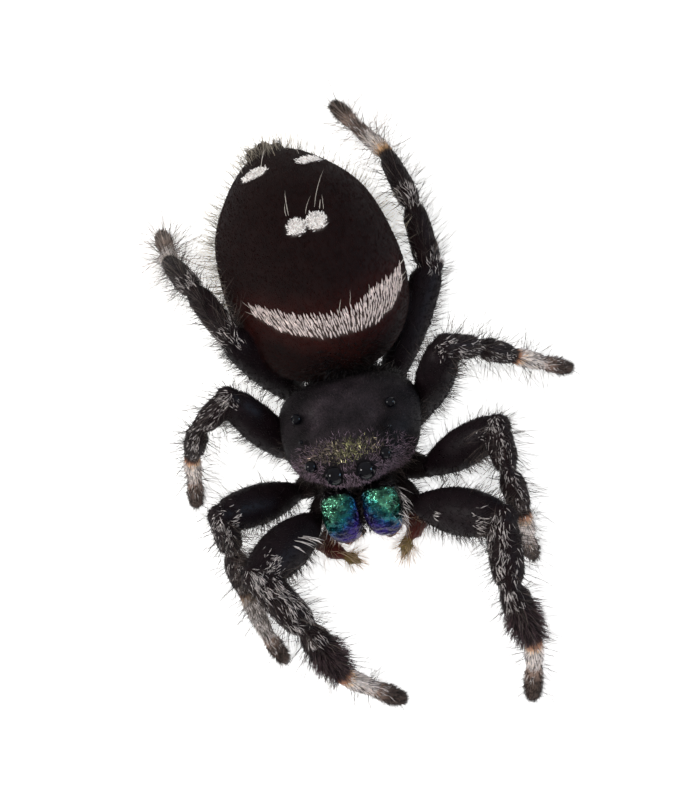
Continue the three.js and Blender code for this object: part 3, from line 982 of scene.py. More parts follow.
# The coat of the abdomen: short velvet, white hair on the marks, and long fine hair standing out.
abdomenCoat = {
    "velvet": {"perSquare": 250, "length": (0.1, 0.18), "width": 0.026, "lift": (8, 24), "spread": 14,
               "shape": (1.0,), "tone": (0.0175, 0.0052, 0.0048), "root": 1},
    "band": {"perSquare": 900, "length": (0.26, 0.36), "width": 0.056, "lift": (4, 13), "spread": 4,
             "shape": (0.8, 1.0, 1.0, 0.85), "thickness": 0.3, "sway": 0.05, "tone": (0.74, 0.63, 0.61),
             "root": 1, "tip": 1.15},
    "spot": {"perSquare": 640, "length": (0.09, 0.17), "width": 0.055, "lift": (5, 24), "spread": 45,
             "shape": (0.8, 1.0), "thickness": 0.3, "tone": (0.95, 0.91, 0.89),
             "root": 1, "tip": 1.15},
}
fringeCoat = {
    # The fringe's pale tan is partly the hair's own colour and partly painted backlight through the thin
    # hairs.
    "fringe": {"perSquare": 66, "length": (0.45, 1.2), "width": 0.0125, "lift": (50, 84), "spread": 42,
               "shape": (1.0, 0.75), "fall": 0.3, "tone": (0.62, 0.54, 0.43), "root": 0.55},
    "collar": {"perSquare": 130, "length": (0.25, 0.55), "width": 0.022, "lift": (30, 70), "spread": 25,
               "tone": (0.008, 0.006, 0.006), "root": 1, "tip": 1.3},
}

# Where the fringe grows: from these angles round the abdomen, less over its back, and from
# this t on. On the left it starts further round and further back.
fringeReach = {"outline": (64, 84), "rear": (0.9, 0.97), "back": (112, 150), "backShare": 0.25,
               "front": (0.2, 0.4), "leftTurn": 18, "leftShift": 0.2}

# Single hairs of the abdomen: where each is rooted, and which way and how far it reaches,
# both as left, rearward and up.
whiskers = [
    (0.0, 0.76, 2.4, 0.16, 0.74, 0.32), (-0.1, 0.76, 2.41, 0.02, 0.37, 0.16),
    (0.5, 0.59, 2.37, 0.3, 0.51, 0.21), (0.93, 0.71, 2.3, 0.54, 0.95, 0.39),
    (1.02, 0.64, 2.28, 0.14, 0.26, 0.11), (1.17, 0.55, 2.23, 0.14, 0.41, 0.17),
    (-0.36, 3.38, 1.44, 0.18, 0.59, 0.25), (-0.71, 3.87, 0.99, -0.03, 0.39, 0.17),
    (-1.07, 3.6, 1.09, -0.1, 0.34, 0.16), (1.02, 3.5, 1.09, 0.08, 0.28, 0.12),
    (0.39, -3.15, 2.05, 0.25, 0.37, 0.15), (0.85, -3.0, 2.05, 0.2, 0.42, 0.18),
    (1.58, -2.8, 1.81, 0.06, 0.32, 0.14), (2.74, -1.86, 0.82, 0.92, 0.29, 0.07),
    (2.62, -2.28, 0.85, 0.47, 0.14, 0.03), (2.45, -2.6, 0.93, 0.51, 0.16, 0.04),
    (1.6, -3.43, 1.35, 0.45, 0.08, 0.01), (-2.24, -1.79, 1.75, -0.31, 0.41, 0.2),
    (-2.34, -1.88, 1.65, -0.24, 0.2, 0.1), (-2.51, 1.79, 1.1, 0.3, -0.38, -0.1),
]
whiskerLayer = {"length": (0.95, 1.05), "width": 0.024, "lift": (34, 44), "spread": 3, "sway": 0.35,
                "shape": (1.0, 0.95, 0.85, 0.6), "fall": 0.7, "tone": (0.62, 0.56, 0.5),
                "root": 1, "tip": 1, "longer": 1.15}


# The nearest points of the skin to some places, and how they lie.
def skinNear(places):
    points = skinGround["points"]
    found = [int(np.argmin(((points - place) ** 2).sum(axis=1))) for place in places]
    where = describe(points[found], skinNodes[found])
    where["normal"] = skinGround["normals"][found]
    return where


def growWhiskers(rng, order):
    table = np.array(whiskers)
    where = skinNear(offAbdomen(table[:, :3]))
    where["flow"] = table[:, 3:] @ abdomenAxes
    where["reach"] = np.linalg.norm(table[:, 3:], axis=1) * whiskerLayer["longer"]
    tone = varied(rng, len(table), whiskerLayer["tone"], 0.1)
    return strands(where, whiskerLayer, rng, tone, limbMap(where, order))


# Thins places out until none is closer to another than a spacing across and along the coat.
def spaced(where, across, along):
    right = np.cross(where["flow"], where["normal"])
    kept = []
    for index, place in enumerate(where["at"]):
        offset = where["at"][kept] - place
        near = ((offset @ right[index]) / across) ** 2 + ((offset @ where["flow"][index]) / along) ** 2
        if not (near < 1).any():
            kept.append(index)
    return keep(where, np.array(kept))


def growAbdomen():
    rng = np.random.default_rng(seeds["abdomen"])
    order = orderOf(["abdomen"])
    layers = []
    for name, layer in abdomenCoat.items():
        where = skinWhere(["abdomen"], layer["perSquare"], rng)
        white = whiteness(where["at"])
        onBand = where["t"] < marks["bandEnds"]
        share = {"velvet": 1 - white * 0.9, "band": (white > 0.5) * onBand, "spot": white * ~onBand}[name]
        where = keep(where, rng.random(len(white)) < share)
        if name == "band":
            where = spaced(where, *marks["bandSpacing"])
        tone = varied(rng, len(where["at"]), layer["tone"], 0.25 if name == "velvet" else 0.13)
        if name == "velvet":
            tone = mix(tone, tone * np.array(abdomenTones["glow"]), warmth(where)[:, None])
        layers.append(strands(where, layer, rng, tone, limbMap(where, order)))
    makeCoat("coatAbdomen", layers, velvetFinish)


# The long fine hair round the abdomen, pale tan with painted backlight, dark at the front, with the single
# hairs.
def growFringe():
    rng = np.random.default_rng(seeds["fringe"])
    order = orderOf(["abdomen"])
    layers = []
    for name, layer in fringeCoat.items():
        where = skinWhere(["abdomen"], layer["perSquare"], rng)
        around = abs(where["around"])
        isLeft = where["around"] > 0
        if name == "fringe":
            outline = np.where(isLeft, around - fringeReach["leftTurn"], around)
            near = np.where(isLeft, where["t"] - fringeReach["leftShift"], where["t"])
            share = np.maximum(smooth(outline, *fringeReach["outline"]),
                               smooth(where["t"], *fringeReach["rear"]))
            share = share * mix(1, fringeReach["backShare"], smooth(around, *fringeReach["back"]))
            share = share * smooth(near, *fringeReach["front"])
        else:
            share = smooth(-where["t"], -0.07, -0.02) * mix(1, 0.2, smooth(around, 45, 80))
        where = keep(where, rng.random(len(share)) < share)
        tone = varied(rng, len(where["at"]), layer["tone"], 0.4)
        tip = None
        if name == "fringe":
            tip = mix(tone * 1.1, tone * 0.08, smooth(-where["t"], -0.3, -0.16)[:, None])
        layers.append(strands(where, layer, rng, tone, limbMap(where, order), tip))
    layers.append(growWhiskers(rng, order))
    makeCoat("fringeAbdomen", layers, hairFinish)


growAbdomen()
growFringe()

# The coats of the legs. shares say how much of each layer grows on each segment, and pairs
# which legs a layer of white hair is for.
legCoat = {
    "nap": {"perSquare": 250, "length": (0.12, 0.22), "width": 0.026, "lift": (10, 32), "spread": 18,
            "shape": (1.0,), "tone": (0.014, 0.008, 0.009), "tip": 1.3,
            "shares": {"femur": 0.5, "patella": 0.9, "tibia": 1, "metatarsus": 0.1, "tarsus": 0.6,
                       "coxa": 0.3}},
    "snow": {"perSquare": 260, "length": (0.2, 0.42), "width": 0.024, "lift": (4, 18), "spread": 15,
             "thickness": 0.35, "shape": (0.9, 1.0), "sway": 0.25, "tone": (0.92, 0.84, 0.82),
             "tip": 1.1, "pairs": (1, 4)},
    "frost": {"perSquare": 350, "length": (0.15, 0.3), "width": 0.022, "lift": (5, 22), "spread": 16,
              "thickness": 0.35, "shape": (0.9, 1.0), "sway": 0.3, "tone": (0.92, 0.84, 0.82),
              "tip": 1.1, "pairs": (2, 3)},
    "brush": {"perSquare": 290, "length": (0.28, 0.54), "width": 0.018, "lift": (45, 75), "spread": 18,
              "tone": (0.03, 0.018, 0.02), "tip": 4.2, "shares": {"tibia": 1}},
    "edge": {"perSquare": 85, "length": (0.25, 0.7), "width": 0.013, "lift": (48, 80), "spread": 25,
             "tone": (0.03, 0.022, 0.02), "tip": 6, "shares": {"femur": 1, "coxa": 0.4}},
    "floss": {"perSquare": 36, "length": (0.55, 1.5), "width": 0.0125, "lift": (50, 85), "spread": 30,
              "shape": (1.0, 0.75), "fall": 0.3, "tone": (0.07, 0.055, 0.048), "tip": 3.5,
              "shares": {"femur": 0.2, "patella": 1, "tibia": 1.2, "metatarsus": 0.8, "tarsus": 0.35}},
    "bristle": {"perSquare": 7, "length": (0.4, 0.8), "width": 0.019, "lift": (45, 75),
                "shape": (1.0, 0.85, 0.6), "spread": 25, "fall": 0.3, "tone": (0.01, 0.007, 0.006),
                "tip": 1.25, "shares": {"femur": 0.4, "patella": 1, "tibia": 1.2, "metatarsus": 0.4}},
    "spine": {"perSquare": 62, "length": (0.16, 0.34), "width": 0.025, "lift": (6, 26), "spread": 14,
              "tone": (0.013, 0.009, 0.008), "tip": 1.25, "shares": {"metatarsus": 0.85, "tarsus": 0.3}},
    "sole": {"perSquare": 340, "length": (0.12, 0.22), "width": 0.026, "lift": (35, 70), "spread": 25,
             "shape": (1.0,), "tone": (0.035, 0.024, 0.02), "tip": 1.25, "shares": {"tarsus": 1}},
}
streakLayer = {"length": (0.95, 1.05), "width": 0.026, "lift": (16, 26), "spread": 4, "tip": 1.25,
               "shape": (0.7, 1.0, 0.9), "fall": 2.0, "sway": 0.1, "tone": (0.82, 0.76, 0.74),
               "each": 2, "stray": 0.02, "reach": (0.85, 1.1)}
hindFoot = {"flossShare": 2.5, "flossTone": 3, "flossReach": 1.5, "spineShare": 2}

# How much white grows along each stretch of each pair of legs, as (t, share) pairs.
snowAlong = {
    1: {"femur": [(0.78, 0), (0.86, 0.55), (1, 0.6)], "patella": [(0, 0.8), (0.5, 0.6), (1, 0.8)],
        "tibia": [(0, 0.85), (0.14, 0.6), (0.3, 0)], "metatarsus": [(0, 0.5), (0.15, 1), (0.7, 1), (1, 0.7)],
        "tarsus": [(0, 0.5), (0.25, 0.15), (0.5, 0)]},
    2: {"femur": [(0.84, 0), (0.92, 0.5), (1, 0.6)], "patella": [(0, 0.7), (1, 0.55)],
        "tibia": [(0, 0.55), (0.8, 0.35), (0.95, 0.1)], "metatarsus": [(0, 0.7), (0.15, 1), (1, 0.8)],
        "tarsus": [(0, 0.6), (0.4, 0.2), (0.7, 0)]},
    3: {"femur": [(0.9, 0), (0.96, 0.4), (1, 0.5)], "patella": [(0, 0.7), (0.3, 0.45), (1, 0.5)],
        "tibia": [(0, 0.5), (0.75, 0.35), (0.92, 0.1)], "metatarsus": [(0, 0.7), (0.2, 1), (1, 0.7)],
        "tarsus": [(0, 0.5), (0.4, 0.2), (0.7, 0)]},
    4: {"femur": [(0.9, 0), (0.97, 0.5), (1, 0.6)],
        "patella": [(0, 0.6), (0.16, 0.3), (0.24, 0), (0.86, 0), (0.94, 0.7), (1, 0.9)],
        "tibia": [(0, 0.9), (0.12, 0.7), (0.3, 0)],
        "metatarsus": [(0, 0.5), (0.15, 0.9), (0.4, 0.7), (0.7, 0.2), (1, 0.1)],
        "tarsus": [(0, 0.1), (0.3, 0)]},
}

# White strokes on the thighs of the front pair: where each is rooted and where its tip comes to,
# as (t, around) pairs.
streakPlaces = {
    "r1": [(0.65, -32, 0.58, -66), (0.6, -30, 0.48, -80), (0.545, -30, 0.41, -84), (0.49, -32, 0.35, -88),
           (0.43, -45, 0.31, -92)],
    "l1": [(0.396, 29, 0.518, 31), (0.386, 39, 0.514, 41), (0.393, 48, 0.481, 51), (0.41, 34, 0.5, 36)],
}


# Each stroke is a few hairs, side by side.
def growStreaks(leg, rng, order):
    points, normals = skinGround["points"], skinGround["normals"]
    length = stretches[stretchesOf["femur_" + leg][0]]["length"]
    here = np.nonzero(skinNodes == fleshNodes.index("femur_" + leg))[0]
    found = describe(points[here], skinNodes[here])
    ends = []
    for place in streakPlaces[leg]:
        for t, around in (place[:2], place[2:]):
            gap = ((found["t"] - t) * length) ** 2 + ((found["around"] - around) / 90) ** 2
            ends.append(here[int(np.argmin(gap))])
    starts = np.repeat(ends[0::2], streakLayer["each"])
    stops = np.repeat(ends[1::2], streakLayer["each"])
    stray = rng.normal(0, streakLayer["stray"], (len(starts), 3))
    where = describe(points[starts] + stray, skinNodes[starts])
    where["normal"] = normals[starts]
    where["flow"] = unit(points[stops] - points[starts])
    where["reach"] = np.linalg.norm(points[stops] - points[starts], axis=1)
    where["reach"] = where["reach"] * rng.uniform(*streakLayer["reach"], len(starts))
    tone = varied(rng, len(starts), streakLayer["tone"], 0.35)
    return strands(where, streakLayer, rng, tone, limbMap(where, order))


# The side that the white hair of each leg's middle lies on: its middle and its reach, in degrees.
# Above the foot it comes in waves, with a little left between them.
snowSides = {"l1": (22, 48), "r1": (-5, 80), "l2": (4, 42), "r2": (2, 44), "l3": (50, 60), "r3": (-22, 50),
             "l4": (0, 150), "r4": (0, 150)}
snowBetween = 0.12


def snowShare(where, leg):
    share = np.zeros(len(where["at"]))
    for number, table in snowAlong.items():
        for kind, steps in table.items():
            here = isKind(where, kind) & (where["number"] == number)
            share[here] = np.interp(where["t"][here], *zip(*steps))
    turn = where["around"] / 57.3
    wave = np.sin(3 * turn + 4 * where["t"] + where["number"]) + np.sin(5 * turn - 9 * where["t"])
    foot = isKind(where, "metatarsus", "tarsus")
    share = share * np.where(foot, 1, mix(snowBetween, 1.0, smooth(wave, -0.8, 0.5)))
    middle, reach = snowSides[leg]
    side = np.maximum(np.exp(-((where["around"] - middle) / reach) ** 4), 0.1)
    share = np.where(isKind(where, "patella", "tibia"), share * side, share)
    front = smooth(where["around"] * where["hand"], -25, 15) * smooth(-abs(where["around"]), -130, -95)
    return np.where(isKind(where, "femur"), share * front, share)


def legShare(name, where, leg):
    if "pairs" in legCoat[name]:
        return snowShare(where, leg) * (int(leg[1]) in legCoat[name]["pairs"])
    share = byKind(where, legCoat[name]["shares"])
    t = where["t"]
    around = abs(where["around"])
    femur = isKind(where, "femur")
    metatarsus = isKind(where, "metatarsus")
    if name == "brush":
        share = np.where(where["number"] == 1, share * smooth(t, 0.22, 0.45), 0)
        share = share * smooth(-t, -0.98, -0.92)
    if name == "edge":
        share = share * smooth(around, 62, 95)
    if name == "floss":
        share = share * np.where(femur, smooth(around, 55, 90), 1)
        if leg[1] == "4":
            foot = isKind(where, "metatarsus", "tarsus")
            share = share * np.where(foot, hindFoot["flossShare"], 1)
    if name == "nap":
        share = np.where(femur, share * mix(1, 2, smooth(t, 0.75, 0.95)), share)
    if name == "sole":
        share = share * mix(0.25, 1, smooth(t, 0.3, 0.7))
    if name == "spine":
        hind = np.where(where["number"] == 4, hindFoot["spineShare"], 1)
        share = np.where(metatarsus, share * hind * smooth(t, 0.1, 0.5), share * smooth(-t, -0.6, -0.2))
    if name in ("nap", "bristle"):
        share = share * np.where(isKind(where, "tibia"), 1 - 0.9 * smooth(t, 0.95, 0.99), 1)
    return share


# The tones of a layer's hairs. The nap takes up the skin's colours, more so on the feet, and
# some of the white hairs are greyed.
def legTone(name, where, leg, rng):
    layer = legCoat[name]
    count = len(where["at"])
    tone = varied(rng, count, layer["tone"], 0.35)
    foot = isKind(where, "metatarsus", "tarsus")[:, None]
    if name == "nap":
        down = smooth(where["kind"], kinds.index("tibia"), kinds.index("metatarsus"))[:, None]
        tone = mix(tone, skinTone(where) * 0.9, mix(0.5, 0.85, down))
    if "pairs" in layer:
        dim = rng.choice([0.25, 0.7, 1.0, 1.0], (count, 1))
        tone = varied(rng, count, layer["tone"], 0.1) * np.where(foot, np.maximum(dim, 0.85), dim)
    if name == "floss":
        tone = tone * rng.choice([0.4, 1.0, 1.0], (count, 1))
        if leg[1] == "4":
            tone = tone * np.where(foot, hindFoot["flossTone"], 1)
    return tone


def growLeg(leg):
    rng = np.random.default_rng(seeds["legs"] + legs.index(leg))
    nodes = legNodes(leg)
    order = orderOf(nodes)
    layers = []
    for name, layer in legCoat.items():
        where = skinWhere(nodes, layer["perSquare"], rng)
        where = keep(where, rng.random(len(where["at"])) < legShare(name, where, leg))
        if not len(where["at"]):
            continue
        tone = legTone(name, where, leg, rng)
        if name == "floss" and leg[1] == "4":
            foot = isKind(where, "metatarsus", "tarsus")
            where["reach"] = np.where(foot, hindFoot["flossReach"], 1)
        if name in ("nap", "snow", "frost"):
            where["swirl"] = 13 * np.sin(where["t"] * 11 + where["around"] / 22 + where["number"])
        layers.append(strands(where, layer, rng, tone, limbMap(where, order)))
    if leg in streakPlaces:
        layers.append(growStreaks(leg, rng, order))
    makeCoat("coatLeg" + leg.upper(), layers, hairFinish)


for leg in legs:
    growLeg(leg)


# The palps, with fans of fine hair, and the underside, with tufts on the spinnerets.
palpCoat = {
    "nap": {"perSquare": 130, "length": (0.1, 0.2), "width": 0.022, "lift": (8, 30), "spread": 20,
            "shape": (1.0,), "tone": (0.05, 0.022, 0.014), "tip": 1.3},
    "fan": {"perSquare": 170, "length": (0.35, 0.9), "width": 0.015, "lift": (16, 62), "spread": 34,
            "shape": (1.0, 0.85, 0.6), "fall": 0.2, "sway": 0.3, "tone": (0.5, 0.36, 0.24), "tip": 1.3},
    "pale": {"perSquare": 40, "length": (0.2, 0.4), "width": 0.026, "lift": (15, 50), "spread": 30,
             "tone": (0.7, 0.62, 0.58), "tip": 1.3},
}
underCoat = {
    "down": {"perSquare": 60, "length": (0.15, 0.3), "width": 0.024, "lift": (15, 40), "spread": 30,
             "shape": (1.0,), "tone": (0.01, 0.007, 0.006), "root": 0.7, "tip": 1.4},
    "tuft": {"perSquare": 60, "length": (0.35, 0.8), "width": 0.02, "lift": (30, 75), "spread": 35,
             "tone": (0.016, 0.011, 0.01), "root": 0.7, "tip": 1.4},
}
spinneretHair = {"reach": 0.45, "shade": 0.5}


def smallShare(name, where):
    if name == "fan":
        return np.where(isKind(where, "palpTip"), 1, 0.2)
    if name == "pale":
        ends = smooth(where["t"], 0.85, 1) + smooth(-where["t"], -0.12, 0)
        return ~isKind(where, "palpTip") * ends
    return np.where(isKind(where, "spinnerets", "pedicel"), 1, 0.12)


def growSmall(coatName, seed, coat, nodes):
    rng = np.random.default_rng(seeds[seed])
    order = orderOf(nodes)
    layers = []
    for name, layer in coat.items():
        where = skinWhere(nodes, layer["perSquare"], rng)
        if name in ("fan", "pale", "tuft"):
            where = keep(where, rng.random(len(where["at"])) < smallShare(name, where))
        tone = varied(rng, len(where["at"]), layer["tone"], 0.4)
        if name == "nap":
            tone = skinTone(where) * rng.uniform(0.5, 1.6, (len(tone), 1))
        isSpinneret = isKind(where, "spinnerets")
        where["reach"] = np.where(isSpinneret, spinneretHair["reach"], 1)
        tone = tone * np.where(isSpinneret, spinneretHair["shade"], 1)[:, None]
        layers.append(strands(where, layer, rng, tone, limbMap(where, order)))
    makeCoat(coatName, layers, hairFinish)


growSmall("coatPalps", "palps", palpCoat, ["palp_left", "palp_right"])
underNodes = ["spinnerets", "pedicel", "sternum"] + ["coxa_" + leg for leg in legs]
growSmall("coatUnder", "under", underCoat, underNodes)

# The carapace: a satin shell, dented inside each rear eye, with a low ring round every eye. A
# dent is a place on the head, a radius and a depth. lit gives the painted light of the dome (its reach
# across, its middle and its reach along), and unlit the painted shade of the sides outside it. A patch is a
# painted highlight or a painted shade: a place on the shell from above, a radius, and how much paler or
# darker it is.
shellSizes = {
    "length": 5.9, "width": 5.15, "top": 2.05, "margin": -0.45, "voxel": 0.05, "relaxing": 12,
    "rearTaper": 0.3,
    "dents": [(1.15, -0.62, 1.95, 0.36, 0.17), (-1.2, -0.6, 1.95, 0.36, 0.17), (0, 0.4, 1.9, 0.5, 0.1),
              (1.75, -1.4, 1.5, 0.4, 0.06), (-1.75, -1.4, 1.5, 0.4, 0.06)],
    "dentFlatness": 0.5, "ringHeight": 0.035, "ringWidth": 0.06, "fullRing": 0.2,
    "socket": 0.97, "socketDepth": 0.9, "socketShade": 0.5, "socketRim": (0.14, 0.04),
    "lit": (1.45, -0.75, 1.75), "unlit": 0.52,
    "ends": 3.1, "ring": 2.55, "widest": 0.12, "frontTaper": 0.2, "backTaper": 0.6, "brow": 0.18,
    "fall": 1.95, "frontLift": 0.95, "sideTaper": 0.16, "bow": 0.42, "bowAt": 1.8, "cloud": 0.28,
    "patches": [(0.98, -0.66, 0.34, 0.9), (-1.02, -0.72, 0.36, 0.9), (0.1, 0.3, 0.7, 0.25),
                (1.36, -1.15, 0.22, -0.6), (1.38, -1.55, 0.22, -0.6), (-1.45, -1.05, 0.2, -0.6),
                (-1.4, -1.5, 0.2, -0.6), (1.45, -0.1, 0.3, -0.4), (-1.6, 0.0, 0.3, -0.4)],
}


def shellShape(u, t, v):
    sizes = shellSizes
    narrowing = np.where(t < sizes["widest"], sizes["frontTaper"], sizes["backTaper"])
    halfWidth = (sizes["width"] / 2) * (1 - narrowing * (t - sizes["widest"]) ** 2)
    halfWidth = halfWidth * (1 - sizes["rearTaper"] * smooth(t, 0.25, 1.0))
    brow = sizes["brow"] * smooth(-t, 0.1, 1)
    fall = sizes["fall"] * smooth(t, 0.05, 1.05)
    top = sizes["top"] - brow - fall
    bottom = sizes["margin"] + sizes["frontLift"] * smooth(-t, 0.55, 0.95)
    x = u * halfWidth * (1 - sizes["sideTaper"] * (v + 1) / 2)
    bow = sizes["bow"] * (x / sizes["bowAt"]) ** 2 * smooth(-t, 0.3, 1)
    y = t * sizes["length"] / 2 + bow
    return offHead(np.stack([x, y, mix(bottom, top, (v + 1) / 2)], axis=1))


# Painted light and shade of the shell: a lit dome with painted highlights and painted shade in patches on
# it, painted shade outside it, and a cloudy mottle over all.
def shellLight(local):
    reachX, middleY, reachY = shellSizes["lit"]
    x, y = local[:, 0], local[:, 1]
    off = (x / reachX) ** 2 + ((y - middleY) / reachY) ** 2
    light = mix(1, shellSizes["unlit"], smooth(off, 0.35, 1.5))
    for middleX, patchY, radius, gain in shellSizes["patches"]:
        away = ((x - middleX) ** 2 + (y - patchY) ** 2) / radius ** 2
        light = light * (1 + gain * np.exp(-away))
    cloud = np.sin(3.3 * x + 1.1 + 1.7 * np.sin(2.3 * y)) * np.sin(3.7 * y + 0.4 + 1.3 * np.sin(2.9 * x))
    return light * (1 + shellSizes["cloud"] * cloud)


def makeShell():
    sizes = shellSizes
    piece = roundedBody("shell", sizes["ends"], sizes["ring"], shellShape, 160, 110)
    remesh(piece, sizes["voxel"])
    relax(piece, sizes["relaxing"])
    points = coordinates(piece)
    normals = normalsOf(piece)
    local = onHead(points)
    for x, y, z, radius, deep in sizes["dents"]:
        offset = (local - np.array([x, y, z])) * np.array([1, 1, sizes["dentFlatness"]])
        away = np.linalg.norm(offset, axis=1)
        points = points - normals * (deep * np.exp(-(away / radius) ** 2))[:, None]
    for centre, radius in eyes.values():
        away = np.linalg.norm(points - centre, axis=1)
        ring = np.exp(-((away - radius) / sizes["ringWidth"]) ** 2) * sizes["ringHeight"]
        points = points + normals * (ring * min(1, radius / sizes["fullRing"]))[:, None]
        offset = points - centre
        away = np.linalg.norm(offset, axis=1, keepdims=True)
        sunk = centre + offset / away * np.minimum(away, radius * sizes["socketDepth"])
        points = np.where(away < radius * sizes["socket"], sunk, points)
    setCoordinates(piece, points)
    # The shell's painted light and shade, darker still in a ring round each eye.
    shade = shellLight(local)
    for centre, radius in eyes.values():
        away = np.linalg.norm(points - centre, axis=1)
        outer, inner = sizes["socketRim"]
        shade = shade * mix(1, sizes["socketShade"], smooth(-away, -radius - outer, -radius - inner))
    storeValue(piece, "shellPaintedLightShade", shade)
    closeShape(piece)
    return piece


shellLook = {
    "mottle": ("grain", 0.8, 5, [(0.32, (0.011, 0.009, 0.011)), (0.68, (0.034, 0.026, 0.031))]),
    "rough": (0.34, 0.25, 0.12, 3), "plain": {"Specular IOR Level": 0.1},
    "bumps": [("grain", 0.5, 3, 0.4, 0.04), ("cells", 0.05, 0, 0.7, 0.01)],
    "scales": 0.05, "scaleStops": [(0.1, (1.35, 1.3, 1.3)), (0.8, (0.6, 0.6, 0.62))], "duller": 0.35,
}


# Tiny scales on the slate, times the shell's painted light and shade.
def shellTint(tree, slate):
    scales = addRamp(tree, cells(tree, shellLook["scales"]), shellLook["scaleStops"])
    tone = blendTones(tree, "MULTIPLY", 1.0, slate, scales)
    return blendTones(tree, "MULTIPLY", 1.0, tone, stored(tree, "shellPaintedLightShade"))


# The places with painted shade are duller too.
def shellRoughen(tree, rough):
    dark = calc(tree, "SUBTRACT", 1.0, stored(tree, "shellPaintedLightShade"))
    return calc(tree, "ADD", rough, calc(tree, "MULTIPLY", dark, shellLook["duller"]))


shell = makeShell()
shellFinish = makeFinish("shellFinish", shellLook, shellTint, shellRoughen)
finishPiece(shell, shellFinish, ["carapace"])
print("shell:", len(shell.data.vertices), "points")

# The coat of the head: fine down, gold and green scales behind the front eyes, pale hair on
# the face, and a skirt of long hair round the lower edge. The down carries the shell's painted light and
# shade.
headCoat = {
    "down": {"perSquare": 230, "length": (0.09, 0.2), "width": 0.021, "lift": (6, 28), "spread": 28,
             "shape": (1.0,), "tone": (0.03, 0.0225, 0.0245)},
    "gold": {"perSquare": 800, "length": (0.08, 0.17), "width": 0.03, "lift": (8, 34), "spread": 60,
             "thickness": 0.35, "shape": (1.0,), "tone": (0.13, 0.12, 0.06)},
    "face": {"perSquare": 380, "length": (0.12, 0.26), "width": 0.021, "lift": (10, 42), "spread": 40,
             "shape": (1.0,), "tone": (0.26, 0.185, 0.235)},
    "brow": {"perSquare": 16, "length": (0.25, 0.5), "width": 0.014, "lift": (40, 80), "spread": 60,
             "shape": (1.0, 0.85), "tone": (0.03, 0.022, 0.02)},
    "skirt": {"perSquare": 60, "length": (0.25, 0.7), "width": 0.013, "lift": (35, 75), "spread": 35,
              "shape": (1.0, 0.85), "tone": (0.03, 0.023, 0.02), "tip": 5},
    "nape": {"perSquare": 170, "length": (0.25, 0.7), "width": 0.024, "lift": (20, 60), "spread": 30,
             "shape": (1.0, 0.85), "tone": (0.008, 0.006, 0.006)},
}
goldPatch = {"middle": (-0.25, -2.12), "half": (1.4, 0.42), "bow": 0.1, "rich": (0.2, 0.75),
             "bronze": (0.26, 0.2, 0.17), "gold": (0.27, 0.275, 0.11), "gather": 0.4,
             "glitter": (-0.5, 0.95), "strength": (0.8, 1.2)}
eyeClearance = 1.04  # hair keeps off a round of this many eye radii


def headWhere(ground, perSquare, rng):
    at, normal, _ = scatter(ground, np.arange(len(ground["area"])), perSquare, rng)
    local = onHead(at)
    clear = np.ones(len(at), bool)
    for centre, radius in eyes.values():
        clear &= np.linalg.norm(at - centre, axis=1) > radius * eyeClearance
    facing = normal @ headAxes.T
    onFace = facing[:, 1] < -0.6
    flow = np.stack([local[:, 0] * 0.25, np.where(onFace, -0.1, 1.0), np.where(onFace, -1.0, -0.5)], axis=1)
    where = {"at": at, "normal": normal, "local": local, "facing": facing, "flow": flow @ headAxes}
    return keep(where, clear)


def headMap(where):
    x, y, z = where["local"].T
    u = 0.5 + np.arctan2(x, z + 0.6) / (2 * math.pi)
    v = 0.5 + y / 7
    return np.clip(np.stack([u, v], axis=1), 0, 1)


def growHead():
    rng = np.random.default_rng(seeds["head"])
    ground = groundOf(shell)
    layers = []
    for name, layer in headCoat.items():
        where = headWhere(ground, layer["perSquare"], rng)
        x, y, z = where["local"].T
        facing = where["facing"]
        share = np.ones(len(x))
        if name == "gold":
            middleX, middleY = goldPatch["middle"]
            halfX, halfY = goldPatch["half"]
            apart = ((x - middleX) / halfX) ** 2
            apart = apart + ((y - middleY - goldPatch["bow"] * abs(x)) / halfY) ** 2
            share = smooth(-apart, -1.5, -0.2) * (facing[:, 2] > 0.1)
        if name == "face":
            share = smooth(-facing[:, 1], 0.1, 0.5) * smooth(-y, 1.2, 1.9)
        if name == "brow":
            share = smooth(-y, 1.0, 2.2)
        if name == "skirt":
            share = smooth(-z, -0.9, 0.1)
        if name == "nape":
            share = smooth(y, 0.9, 2.3)
        where = keep(where, rng.random(len(share)) < share)
        tone = varied(rng, len(where["at"]), layer["tone"], 0.4)
        # The down takes on the shell's painted light and shade.
        if name == "down":
            tone = tone * shellLight(where["local"])[:, None]
        if name == "gold":
            middle, reach = goldPatch["rich"]
            rich = np.exp(-((where["local"][:, 0] - middle) / reach) ** 2)[:, None]
            golden = rich * rng.random(rich.shape) ** goldPatch["gather"]
            tone = mix(np.array(goldPatch["bronze"]), np.array(goldPatch["gold"]), golden)
            tone = tone * np.exp(rng.normal(*goldPatch["glitter"], rich.shape))
            tone = tone * mix(*goldPatch["strength"], rich)
        layers.append(strands(where, layer, rng, tone, headMap(where)))
    makeCoat("coatHead", layers, hairFinish)


growHead()

# The eyes: a domed lens, turned out from the head, sits in each ring of the shell.
gaze = {"eye_front": (0.12, -1, 0.28), "eye_side": (0.45, -0.9, 0.3), "eye_small": (0.9, -0.2, 0.6),
        "eye_back": (0.85, 0.3, 0.55)}


eyeLook = {
    "mottle": ("grain", 0.3, 2, [(0.3, (0.002, 0.002, 0.003)), (0.7, (0.005, 0.005, 0.008))]),
    "rough": 0.09, "plain": {"Specular IOR Level": 0.2}, "bumps": [("grain", 0.12, 2, 0.04, 0.002)],
}
lensFinish = makeFinish("eyeFinish", eyeLook)
lensFaces = (40, 28)


